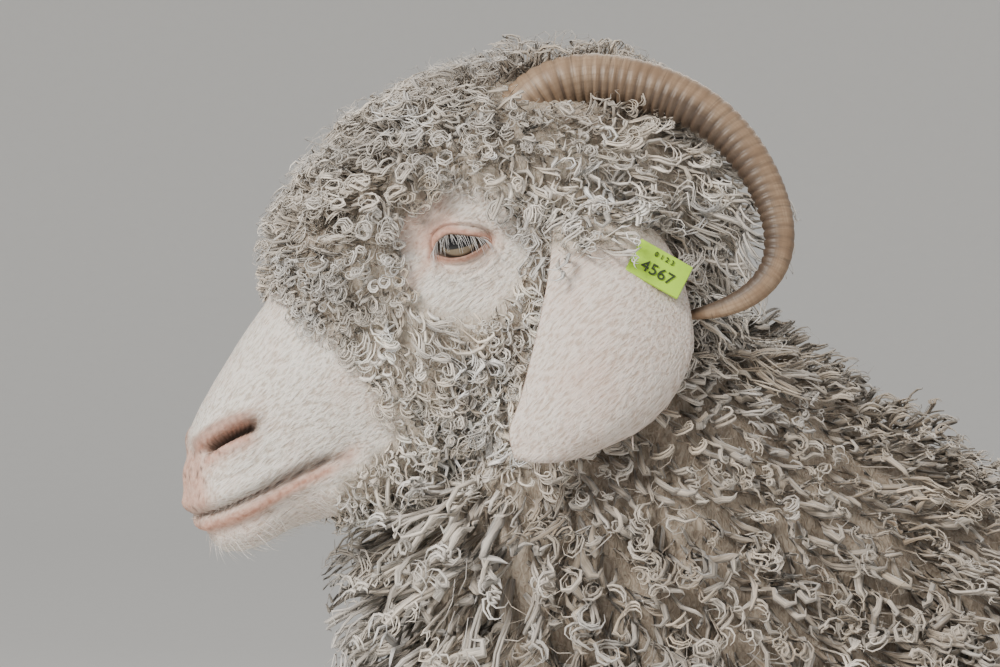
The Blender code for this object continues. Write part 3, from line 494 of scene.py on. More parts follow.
@dataclass(frozen=True)
class HideFinish:
    """The skin: felted wool on the body, coloured dark as painted shade deep in the fleece, short white hair,
    pink bare skin and dark edges on the face, partly painted shade in the nostrils and the mouth.
    """

    name: str = "hide"
    # Felt under the locks, dark as painted shade deep in the fleece: the deep and the light ends of its
    # mottle, each dusky and pale.
    felt_shade_dusky: Colour = (0.17, 0.128, 0.092)
    felt_shade_pale: Colour = (0.42, 0.355, 0.285)
    light_dusky: Colour = (0.30, 0.243, 0.186)
    light_pale: Colour = (0.72, 0.655, 0.575)
    hair: Colour = (0.79, 0.750, 0.700)
    hair_shade: Colour = (0.50, 0.435, 0.375)
    pink: Colour = (0.42, 0.205, 0.145)
    pink_light: Colour = (0.60, 0.360, 0.280)
    dark: Colour = (0.095, 0.065, 0.052)

    def build(self) -> Material:
        """Makes the material."""
        shader = Shader(self.name)
        place = shader.place()
        pink, dark, felt, pale = shader.channels("marks")
        along = shader.stretched(place, (1.0, 1.0, 1.0), (0, math.radians(-52), 0))
        hairs = shader.noise(shader.stretched(along, (1.0, 1.6, 0.26)), 800, 3)
        patches = shader.noise(place, 38, 3)
        white = shader.mix(shader.ramp(hairs, (0.36, 0.0), (0.54, 1.0)), self.hair_shade, self.hair)
        white = shader.mix(shader.ramp(patches, (0.45, 0.0), (0.80, 0.30)), white, self.pink_light)
        swirl = {"Vector": shader.stretched(place, (1.0, 1.0, 0.45)), "Scale": 330, "Detail": 4.0}
        lumps = shader.node("TexNoise", {**swirl, "Distortion": 2.6}, "Fac")
        # The felt's mottle between its painted-shade colours.
        deep = shader.mix(pale, self.felt_shade_dusky, self.felt_shade_pale)
        light = shader.mix(pale, self.light_dusky, self.light_pale)
        wool = shader.mix(shader.ramp(lumps, (0.34, 0.0), (0.66, 1.0)), deep, light)
        pores = shader.noise(place, 420, 3)
        bare = shader.mix(shader.ramp(pores, (0.35, 0.0), (0.65, 1.0)), self.pink, self.pink_light)
        colour = shader.mix(pink, white, bare)
        colour = shader.mix(felt, colour, wool)
        colour = shader.mix(dark, colour, self.dark)
        height = shader.mix(pink, hairs, shader.mix(1.0, pores, (0.35, 0.35, 0.35), "MULTIPLY"))
        height = shader.mix(felt, height, lumps)
        shader.shade(
            Base_Color=colour,
            Roughness=0.66,
            Subsurface_Weight=0.08,
            Subsurface_Radius=(0.004, 0.002, 0.0012),
            Specular_IOR_Level=0.32,
            Normal=shader.bump(height, 0.0013, 0.9),
        )
        return shader.material


@dataclass(frozen=True)
class HornFinish:
    """Ridged horn, tan with a dark inner face, in bands of growth, with painted shade in the grooves between
    the ridges.
    """

    name: str = "horn"
    light: Colour = (0.40, 0.290, 0.195)
    tan: Colour = (0.21, 0.136, 0.085)
    deep: Colour = (0.050, 0.033, 0.024)

    def build(self) -> Material:
        """Makes the material."""
        shader = Shader(self.name)
        along, inner, groove_shade = shader.channels("growth")[:3]
        place = shader.place()
        grain = shader.noise(shader.stretched(shader.node("UVMap", uv_map="UVMap"), (42, 5, 1)), 1.0, 4)
        cloud = shader.noise(place, 55, 4)
        colour = shader.mix(shader.ramp(cloud, (0.35, 0.0), (0.68, 1.0)), self.tan, self.light)
        colour = shader.mix(shader.ramp(grain, (0.42, 0.0), (0.70, 0.75)), colour, self.tan)
        bands = shader.noise(shader.stretched(shader.node("UVMap", uv_map="UVMap"), (2.5, 150, 1)), 1.0, 4)
        colour = shader.mix(shader.ramp(bands, (0.44, 0.0), (0.60, 0.7)), colour, self.tan)
        colour = shader.mix(shader.ramp(bands, (0.30, 0.55), (0.42, 0.0)), colour, self.deep)
        toward_tip = shader.ramp(along, (0.12, 0.25), (0.45, 0.88))
        colour = shader.mix(shader.maths("MULTIPLY", inner, toward_tip), colour, self.deep)
        # The grooves between ridges are darkened as painted shade.
        colour = shader.mix(shader.maths("MULTIPLY", groove_shade, 0.80), colour, self.deep)
        shader.shade(
            Base_Color=colour,
            Roughness=0.46,
            Specular_IOR_Level=0.45,
            Normal=shader.bump(shader.mix(0.6, grain, bands), 0.0006, 0.7),
        )
        return shader.material


@dataclass(frozen=True)
class HoofFinish:
    """Grey-brown hoof, mottled pale, in fine growth rings."""

    name: str = "hoof"
    dark: Colour = (0.085, 0.068, 0.055)
    pale: Colour = (0.30, 0.245, 0.19)

    def build(self) -> Material:
        """Makes the material."""
        shader = Shader(self.name)
        place = shader.place()
        rings = shader.noise(shader.stretched(place, (0.15, 0.15, 1.0)), 420, 3)
        cloud = shader.noise(place, 70, 4)
        colour = shader.mix(shader.ramp(cloud, (0.38, 0.0), (0.66, 1.0)), self.dark, self.pale)
        colour = shader.mix(shader.ramp(rings, (0.45, 0.0), (0.62, 0.55)), colour, self.dark)
        shader.shade(Base_Color=colour, Roughness=0.58, Normal=shader.bump(rings, 0.0005, 0.7))
        return shader.material


@dataclass(frozen=True)
class EyeFinish:
    """The eyeball: dark corners, an amber-brown iris with a dark rim, painted shade of the lids over the
    iris's upper part, and a slot pupil.
    """

    name: str = "eye"
    white: Colour = (0.13, 0.100, 0.085)
    iris: Colour = (0.150, 0.108, 0.066)
    iris_grey: Colour = (0.230, 0.190, 0.135)
    rim: Colour = (0.030, 0.023, 0.018)
    pupil: Colour = (0.008, 0.008, 0.010)

    def build(self) -> Material:
        """Makes the material."""
        shader = Shader(self.name)
        across, along, _ = shader.channels("gaze")[:3]
        out = shader.maths("SUBTRACT", across, 0.5)
        up = shader.maths("SUBTRACT", along, 0.65)
        above = shader.maths("SUBTRACT", along, 0.53)
        square = shader.maths("ADD", shader.maths("MULTIPLY", out, out), shader.maths("MULTIPLY", up, up))
        radius = shader.maths("POWER", square, 0.5)
        angle = shader.maths("MULTIPLY", shader.maths("ARCTAN2", up, out), 9.0)
        rays = shader.noise(shader.node("CombineXYZ", {0: angle, 1: radius}), 3.0, 3)
        iris = shader.mix(rays, self.iris, self.iris_grey)
        iris = shader.mix(shader.ramp(radius, (0.300, 0.0), (0.330, 1.0)), iris, self.rim)
        # The iris's upper part is darkened toward the rim colour as painted shade of the upper lid and
        # lashes.
        iris = shader.mix(shader.ramp(along, (0.43, 0.0), (0.50, 0.85)), iris, self.rim)
        colour = shader.mix(shader.ramp(radius, (0.350, 0.0), (0.38, 1.0)), iris, self.white)
        wide = shader.maths("POWER", shader.maths("ABSOLUTE", shader.maths("MULTIPLY", out, 4.6)), 4.0)
        tall = shader.maths("POWER", shader.maths("ABSOLUTE", shader.maths("MULTIPLY", above, 11.0)), 4.0)
        slot = shader.maths("ADD", wide, tall)
        colour = shader.mix(shader.ramp(slot, (0.75, 1.0), (1.0, 0.0)), colour, self.pupil)
        shader.shade(Base_Color=colour, Roughness=0.08, Specular_IOR_Level=0.45)
        return shader.material


@dataclass(frozen=True)
class TagFinish:
    """Tough plastic with small scuffs."""

    name: str
    colour: Colour
    worn: Colour

    def build(self) -> Material:
        """Makes the material."""
        shader = Shader(self.name)
        place = shader.place()
        scuffs = shader.noise(place, 260, 5, 0.7)
        dirt = shader.noise(place, 90, 4)
        colour = shader.mix(shader.ramp(dirt, (0.50, 0.0), (0.78, 0.7)), self.colour, self.worn)
        roughness = shader.ramp(scuffs, (0.35, 0.34), (0.70, 0.58))
        shader.shade(Base_Color=colour, Roughness=roughness, Normal=shader.bump(scuffs, 0.0001, 0.5))
        return shader.material


@dataclass(frozen=True)
class FloorFinish:
    """A plain pale studio floor."""

    name: str = "floor"
    colour: Colour = (0.80, 0.79, 0.77)
    speck: Colour = (0.77, 0.76, 0.74)

    def build(self) -> Material:
        """Makes the material."""
        shader = Shader(self.name)
        speckle = shader.noise(shader.place(), 30, 4)
        shader.shade(Base_Color=shader.mix(speckle, self.colour, self.speck), Roughness=0.85)
        return shader.material


# The body


@dataclass
class Wool:
    """Depth of the fleece over the skin at a point, and how it hangs."""

    fleece: float = 0.052
    belly: float = 0.060
    throat: float = 0.070
    nape: float = 0.036
    neck_side: tuple[float, float] = (0.020, 0.050)
    tail: float = 0.016
    leg_z: tuple[float, ...] = (0.150, 0.200, 0.260, 0.330)
    leg: tuple[float, ...] = (0.002, 0.008, 0.020, 0.028)
    head_u: tuple[float, ...] = (-0.110, -0.060, -0.020, 0.017, 0.050, 0.068, 0.080, 0.105, 0.130)
    forehead: tuple[float, ...] = (0.030, 0.026, 0.033, 0.034, 0.027, 0.012, 0.000, 0.000, 0.000)
    cheek: tuple[float, ...] = (0.030, 0.022, 0.014, 0.012, 0.012, 0.009, 0.003, 0.000, 0.000)
    jaw: tuple[float, ...] = (0.022, 0.020, 0.020, 0.020, 0.018, 0.017, 0.016, 0.013, 0.000)
    bare_eye: tuple[float, float] = (0.016, 0.036)

    def on_torso(self, points: Array, normals: Array) -> Array:
        """Depth on the torso, deeper where it hangs from the belly."""
        return self.fleece + (self.belly - self.fleece) * ease(0.2, 0.9, -normals[:, 2])

    def on_neck(self, points: Array, normals: Array) -> Array:
        """Depth on the neck: long at the throat, thin under the ears."""
        down = 1 - ease(0.56, 0.74, points[:, 2])
        side = self.neck_side[0] + (self.neck_side[1] - self.neck_side[0]) * down
        depth = side + (self.throat - side) * ease(0.35, 0.85, -normals[:, 0])
        return depth + (np.maximum(self.nape, side) - depth) * ease(0.35, 0.85, normals[:, 2])

    def on_leg(self, points: Array, normals: Array) -> Array:
        """Depth on a leg, thinning down to the knee and hock."""
        return np.interp(points[:, 2], self.leg_z, self.leg)

    def on_tail(self, points: Array, normals: Array) -> Array:
        """Depth on the tail."""
        return np.full(len(points), self.tail)

    def on_head(self, points: Array, normals: Array) -> Array:
        """Depth on the head: a deep topknot, thin cheeks, a bare muzzle and bare skin round the eyes."""
        u, _, w = head_axes(points)
        turn = head_turn(points)
        depth = np.interp(u, self.head_u, self.cheek)
        brow = ease(math.radians(5), math.radians(60), turn)
        depth = depth + (np.interp(u, self.head_u, self.forehead) - depth) * brow
        below = 1 - ease(math.radians(-70), math.radians(-35), turn)
        depth = depth + (np.interp(u, self.head_u, self.jaw) - depth) * below
        from_eye = np.hypot(u - EYE_AT[0] - 0.004, (w - EYE_AT[2]) * 0.9)
        on_side = 1 - ease(math.radians(30), math.radians(55), turn)
        return depth * (1 - (1 - ease(*self.bare_eye, from_eye)) * on_side)


@dataclass
class HeadForm:
    """The head's skin along its length: top, bottom, half width and the height of the greatest width."""

    rows: Table = (
        (-0.108, -0.022, -0.062, 0.020, -0.040),
        (-0.098, 0.006, -0.076, 0.034, -0.030),
        (-0.080, 0.024, -0.084, 0.042, -0.022),
        (-0.060, 0.034, -0.089, 0.047, -0.014),
        (-0.035, 0.039, -0.092, 0.050, -0.008),
        (-0.010, 0.040, -0.092, 0.051, -0.004),
        (0.012, 0.038, -0.089, 0.048, -0.004),
        (0.032, 0.035, -0.085, 0.043, -0.008),
        (0.052, 0.032, -0.080, 0.037, -0.014),
        (0.072, 0.029, -0.076, 0.032, -0.019),
        (0.092, 0.024, -0.071, 0.0290, -0.021),
        (0.110, 0.018, -0.066, 0.0265, -0.021),
        (0.126, 0.012, -0.062, 0.0250, -0.021),
        (0.139, 0.006, -0.058, 0.0245, -0.023),
        (0.149, -0.001, -0.056, 0.0225, -0.026),
        (0.157, -0.009, -0.053, 0.0185, -0.029),
        (0.1625, -0.019, -0.049, 0.0120, -0.033),
    )
    stations: Table = ((-0.108, -0.04, 30), (-0.038, 0.085, 70), (0.0862, 0.1625, 70))
    sides: int = 150
    squareness: float = 2.15

    @property
    def u(self) -> Array:
        """Places of the table's rows."""
        return np.array(self.rows)[:, 0]

    @property
    def level(self) -> Array:
        """Height of the greatest width at each row."""
        return np.array(self.rows)[:, 4]

    def rings(self) -> Array:
        """Rings of the bare head, closest together on the muzzle."""
        at = np.concatenate([np.linspace(start, end, count) for start, end, count in self.stations])
        columns = np.array(self.rows).T[1:]
        top, bottom, half, level = (smooth_curve(at, self.u, column)[:, None] for column in columns)
        across, up = outline(self.sides, self.squareness)
        w = level + np.where(up > 0, up * (top - level), up * (level - bottom))
        return with_ends(head_point(at[:, None], across * half, w), 0.28, 7)


HEAD = HeadForm()


@dataclass
class Face:
    """The forms and markings of the face, in head axes.

    A fold of the lips says how far it stands out, its height over the mouth, its width, and from where
    to where it rises along the head.
    """

    nostril_front: Triple = (0.1430, 0.0120, -0.0050)
    nostril_back: Triple = (0.1215, 0.0225, -0.0085)
    mouth_corner: float = 0.0985
    mouth_front: float = 0.1635
    mouth_w: tuple[float, float] = (-0.0440, -0.0268)
    folds: Table = (
        (-0.0036, 0.0, 0.0011, 0.0945, 0.1085),
        (0.0022, 0.0055, 0.0040, 0.105, 0.135),
        (0.0018, -0.0050, 0.0034, 0.104, 0.130),
        (-0.0012, -0.0098, 0.0028, 0.118, 0.140),
    )

    def mouth_line(self, u: Array) -> Array:
        """Height of the line of the mouth."""
        t = np.clip((u - self.mouth_corner) / (self.mouth_front - self.mouth_corner), 0, 1)
        return self.mouth_w[0] + (self.mouth_w[1] - self.mouth_w[0]) * t**0.95

    def nostril_axes(self, u: Array, v: Array, w: Array) -> tuple[Array, Array]:
        """How far along the nostril a point lies, and how far above its curved axis, in metres."""
        front, back = np.array(self.nostril_front), np.array(self.nostril_back)
        along = back - front
        length = np.linalg.norm(along)
        along = along / length
        p = np.stack([u, np.abs(v), w], axis=-1) - front
        s = p @ along / length
        out = unit(np.array([0.35, 0.93, 0.1]))
        up = unit(np.cross(along, out))
        up = up * np.sign(up[2])
        return s, p @ up - 0.0016 * np.sin(np.clip(s, -0.2, 1.2) * math.pi)

    def nose(self, u: Array, v: Array, w: Array) -> Array:
        """How far the nose pad, the rims of the nostrils and the cleft under them stand out."""
        s, d = self.nostril_axes(u, v, w)
        half = 0.0012 + 0.0012 * np.clip(s, 0, 1)
        opening = between((-0.16, 0.12), (0.86, 1.12), s) * (1 - ease(0.35, 1.5, np.abs(d) / half))
        upper_rim = bell(d - 0.0045, 0.0030) * between((-0.4, 0.1), (0.8, 1.35), s)
        lower_rim = bell(d + 0.0042, 0.0024) * between((-0.2, 0.2), (0.7, 1.2), s)
        front_dip = bell(s + 0.42, 0.16) * bell(d - 0.001, 0.006)
        back_dip = bell(s - 1.25, 0.25) * bell(d - 0.001, 0.006)
        middle = ease(0.146, 0.152, u) * between((-0.030, -0.024), (-0.008, -0.004), w)
        cleft = middle * bell(v, 0.0014)
        beside = bell(u - 0.152, 0.010) * bell(w + 0.020, 0.0065) * ease(0.001, 0.004, np.abs(v))
        raised = 0.0026 * upper_rim + 0.0012 * lower_rim + 0.0016 * beside
        return raised - 0.0085 * opening - 0.0016 * front_dip - 0.0011 * back_dip - 0.0022 * cleft

    def lips(self, u: Array, w: Array) -> Array:
        """How far the lips and the chin stand out, with the line of the mouth between them."""
        dw = w - self.mouth_line(u)
        folds = [out * bell(dw - at, wide) * ease(start, end, u) for out, at, wide, start, end in self.folds]
        chin = 0.0018 * bell(u - 0.150, 0.012) * bell(dw + 0.0175, 0.0060)
        crease = 0.0016 * bell(u - self.mouth_corner + 0.003, 0.0045) * bell(dw, 0.008)
        return sum(folds) + chin - crease

    def shape(self, points: Array, normals: Array, hollow: bool = True) -> Array:
        """Moves the head's points: nostrils, lips, chin, cheek and the hollow of each eye.

        Args:
            points: The bare head's points.
            normals: Their normals.
            hollow: Whether the eyes' sockets are sunk in.

        Returns:
            The new points.
        """
        u, v, w = head_axes(points)
        cheek = 0.0016 * bell(u - 0.050, 0.020) * bell(w + 0.018, 0.010)
        push = self.nose(u, v, w) + self.lips(u, w) + cheek
        if hollow:
            from_eye = np.hypot(u - EYE_AT[0], w - EYE_AT[2])
            push -= 0.0150 * (1 - ease(0.008, 0.0165, from_eye)) * ease(0.012, 0.024, np.abs(v))
        return points + normals * push[:, None]

    def marks(self, points: Array) -> Array:
        """Paint of the face.

        Args:
            points: The head's points.

        Returns:
            Bare pink, dark and felted shares of each point; the dark share holds painted shade in the
            nostrils, in the mouth's crease and under the upper lip, as well as dark skin and hair.
        """
        u, v, w = head_axes(points)
        side = np.abs(v)
        s, d = self.nostril_axes(u, v, w)
        dw = w - self.mouth_line(u)
        past = u - self.mouth_corner
        mouth = ease(-0.002, 0.012, past)
        speck = lumpy(np.stack([u, side, w], axis=-1), 0.0016)
        over = between((0.0, 0.002), (0.006, 0.0095), d) * between((-0.55, -0.15), (0.85, 1.25), s)
        under = bell(d + 0.0034, 0.0048) * between((-0.5, 0.0), (0.75, 1.10), s)
        front = ease(0.138, 0.150, u) * between((-0.031, -0.022), (-0.004, 0.004), w)
        pad = front * (1 - ease(0.013, 0.021, side + 0.3 * (0.150 - u)))
        wide = 0.0026 + 0.0026 * ease(0.120, 0.155, u)
        lip = mouth * bell(dw + wide + 0.0006, wide)
        corner = 0.7 * bell(past, 0.007) * bell(dw + 0.001, 0.0035)
        nose = 0.95 * (0.80 * over + 0.9 * under)
        eyes = [Eye(sign).marks(points) for sign, _ in SIDES]
        pink = np.maximum.reduce([nose, pad * 0.8, lip, corner, eyes[0][0], eyes[1][0]])
        # The inside of each nostril: painted shadow in the opening.
        inside = (1 - ease(0.5, 1.25, np.abs(d) / 0.0022)) * between((-0.12, 0.10), (0.90, 1.08), s)
        # The line of the mouth: painted shade in the crease between the lips.
        mouth_crease_shade = 0.85 * bell(dw - 0.0004, 0.0009) * ease(-0.003, 0.008, past)
        # A band above the mouth: partly dark hair, partly painted shade under the upper lip's overhang.
        hairs = mouth * bell(dw - 0.0030, 0.0032) * (0.74 - 0.45 * ease(0.120, 0.150, u))
        # The upper rim's speckled brown skin, and at the slit's back end painted shade.
        rim = over * (0.34 + 0.16 * speck) + 0.45 * bell(s - 1.02, 0.14) * bell(d - 0.001, 0.004)
        freckles = 0.8 * ease(0.55, 0.95, speck) * np.clip(under + pad + 0.5 * lip, 0, 1)
        dark = np.maximum.reduce([inside, mouth_crease_shade, hairs, rim, freckles, eyes[0][1], eyes[1][1]])
        return np.stack([np.clip(pink, 0, 1), np.clip(dark, 0, 1), np.zeros(len(u))], axis=-1)


@dataclass
class Body:
    """The torso, neck, legs and tail under the fleece, as one skin with the head and ears."""

    wool: Wool
    voxel: float = 0.0075
    torso: Table = (
        (-0.435, 0.490, 0.405, 0.048),
        (-0.405, 0.560, 0.360, 0.084),
        (-0.340, 0.612, 0.320, 0.110),
        (-0.260, 0.628, 0.298, 0.124),
        (-0.140, 0.606, 0.286, 0.138),
        (0.000, 0.598, 0.282, 0.150),
        (0.120, 0.602, 0.297, 0.150),
        (0.200, 0.600, 0.332, 0.136),
        (0.270, 0.580, 0.382, 0.112),
        (0.315, 0.548, 0.425, 0.078),
        (0.330, 0.520, 0.455, 0.044),
    )
    neck: Table = (
        (-0.390, 0.410, -0.170, 0.590, 0.100),
        (-0.455, 0.470, -0.215, 0.628, 0.094),
        (-0.485, 0.530, -0.262, 0.655, 0.084),
        (-0.500, 0.590, -0.306, 0.684, 0.074),
        (-0.500, 0.640, -0.348, 0.706, 0.065),
        (-0.492, 0.686, -0.388, 0.732, 0.056),
        (-0.484, 0.718, -0.420, 0.768, 0.048),
    )
    foreleg: Table = (
        (-0.300, 0.068, 0.440, 0.0700, 0.0400),
        (-0.296, 0.076, 0.370, 0.0560, 0.0370),
        (-0.292, 0.080, 0.310, 0.0400, 0.0310),
        (-0.296, 0.080, 0.250, 0.0290, 0.0250),
        (-0.302, 0.079, 0.205, 0.0245, 0.0225),
        (-0.303, 0.078, 0.180, 0.0225, 0.0205),
        (-0.300, 0.078, 0.150, 0.0165, 0.0150),
        (-0.300, 0.078, 0.100, 0.0160, 0.0145),
        (-0.302, 0.078, 0.078, 0.0200, 0.0185),
        (-0.309, 0.078, 0.056, 0.0175, 0.0180),
        (-0.317, 0.078, 0.034, 0.0215, 0.0205),
    )
    hindleg: Table = (
        (0.185, 0.066, 0.510, 0.0900, 0.0450),
        (0.185, 0.080, 0.430, 0.0980, 0.0500),
        (0.180, 0.088, 0.370, 0.0760, 0.0440),
        (0.205, 0.090, 0.315, 0.0520, 0.0330),
        (0.240, 0.088, 0.272, 0.0360, 0.0250),
        (0.262, 0.086, 0.238, 0.0300, 0.0215),
        (0.268, 0.085, 0.205, 0.0225, 0.0185),
        (0.266, 0.084, 0.160, 0.0175, 0.0155),
        (0.260, 0.084, 0.105, 0.0170, 0.0150),
        (0.256, 0.084, 0.080, 0.0205, 0.0185),
        (0.248, 0.084, 0.057, 0.0180, 0.0180),
        (0.240, 0.084, 0.034, 0.0220, 0.0205),
    )
    tail: Table = (
        (0.300, 0.555, 0.022, 0.026),
        (0.345, 0.588, 0.020, 0.024),
        (0.382, 0.602, 0.016, 0.020),
        (0.412, 0.600, 0.008, 0.011),
    )
    stride_top: float = 0.40

    def torso_rings(self) -> Array:
        """Rings of the torso's skin."""
        rows = smooth_table(np.array(self.torso), 80)
        across, up = outline(64, 2.2)
        x, top, bottom, half = (column[:, None] for column in rows.T)
        z = (top + bottom) / 2 + up * (top - bottom) / 2
        return with_ends(np.stack([x + 0 * z, across * half + 0 * z, z], axis=-1))

    def neck_rings(self) -> Array:
        """Rings of the neck's skin, from inside the chest to inside the head."""
        rows = smooth_table(np.array(self.neck), 60)
        across, up = outline(64, 2.1)
        tx, tz, nx, nz, half = (column[:, None] for column in rows.T)
        x = (tx + nx) / 2 + up * (nx - tx) / 2
        z = (tz + nz) / 2 + up * (nz - tz) / 2
        return with_ends(np.stack([x, across * half + 0 * x, z], axis=-1), 0.3)

    def leg_rings(self, kind: str, side: int) -> Array:
        """Rings of one leg's skin, down to just inside the hoof."""
        rows = smooth_table(np.array(getattr(self, kind)), 90)
        across, along = outline(40)
        x, off, z, depth, width = (column[:, None] for column in rows.T)
        step = STRIDES[kind, side] * (1 - ease(0, self.stride_top, z))
        ring = np.stack([x + step + along * depth, side * off + across * width, z + 0 * along], axis=-1)
        return with_ends(ring, 0.2)

    def tail_rings(self) -> Array:
        """Rings of the short upturned tail."""
        rows = smooth_table(np.array(self.tail), 30)
        across, up = outline(32)
        slope = np.arctan2(np.gradient(rows[:, 1]), np.gradient(rows[:, 0]))[:, None]
        x, z, tall, wide = (column[:, None] for column in rows.T)
        off = up * tall
        ring = np.stack([x - off * np.sin(slope), across * wide, z + off * np.cos(slope)], axis=-1)
        return with_ends(ring, 0.8)

    def grown_tube(self, name: str, rings: Array, depth: Callable[[Array, Array], Array]) -> Piece:
        """A tube moved out by the felted share of its wool."""
        obj = tube(name, rings)
        points, normals = points_of(obj), normals_of(obj)
        place_points(obj, points + normals * (depth(points, normals) * FELT_SHARE)[:, None])
        return obj

    def trunk(self) -> Piece:
        """The body without the head, in one even mesh, softened where its parts meet."""
        parts = [
            self.grown_tube("torso_skin", self.torso_rings(), self.wool.on_torso),
            self.grown_tube("neck_skin", self.neck_rings(), self.wool.on_neck),
            self.grown_tube("tail_skin", self.tail_rings(), self.wool.on_tail),
        ]
        for side, word in SIDES:
            for kind in ("foreleg", "hindleg"):
                rings = self.leg_rings(kind, side)
                parts.append(self.grown_tube(f"{kind}_{word}_skin", rings, self.wool.on_leg))
        trunk = join(parts, "trunk_skin")
        apply_modifier(trunk, "REMESH", mode="VOXEL", voxel_size=self.voxel)
        apply_modifier(trunk, "SMOOTH", factor=0.6, iterations=5)
        points, normals = points_of(trunk), normals_of(trunk)
        lumps = lumpy(points, 0.020) * 0.0045 * ease(0.24, 0.36, points[:, 2])
        place_points(trunk, points + normals * lumps[:, None])
        felt, bare = ease(0.17, 0.27, points[:, 2]), np.zeros(len(points))
        paint(trunk, "marks", np.stack([bare, bare, felt, paleness(points)], axis=-1))
        return trunk

    def head(self, face: Face, hollow: bool = True) -> Piece:
        """The head, with the forms of the face, and with its sockets where they are wanted."""
        obj = tube("head_skin", HEAD.rings())
        points, normals = points_of(obj), normals_of(obj)
        depth = self.wool.on_head(points, normals)
        lumps = 0.0012 * lumpy(points, 0.009) * ease(0.003, 0.010, depth)
        shaped = face.shape(points, normals, hollow)
        place_points(obj, shaped + normals * (depth * FELT_SHARE + lumps)[:, None])
        marks = face.marks(points)
        marks[:, 2] = ease(0.004, 0.012, depth)
        paint(obj, "marks", np.column_stack([marks, paleness(points)]))
        return obj


def lumpy(points: Array, size: float) -> Array:
    """A soft random relief between -1 and 1, from a few waves in fixed directions.

    Args:
        points: Where it is read.
        size: The size of a lump.

    Returns:
        The relief at each point.
    """
    rng = np.random.default_rng(11)
    waves = unit(rng.normal(size=(9, 3))) / size * rng.uniform(0.7, 1.6, (9, 1)) * math.pi
    phases = rng.uniform(0, 2 * math.pi, 9)
    return np.sin(points @ waves.T + phases).sum(1) / 4.5


# Eyes and lids


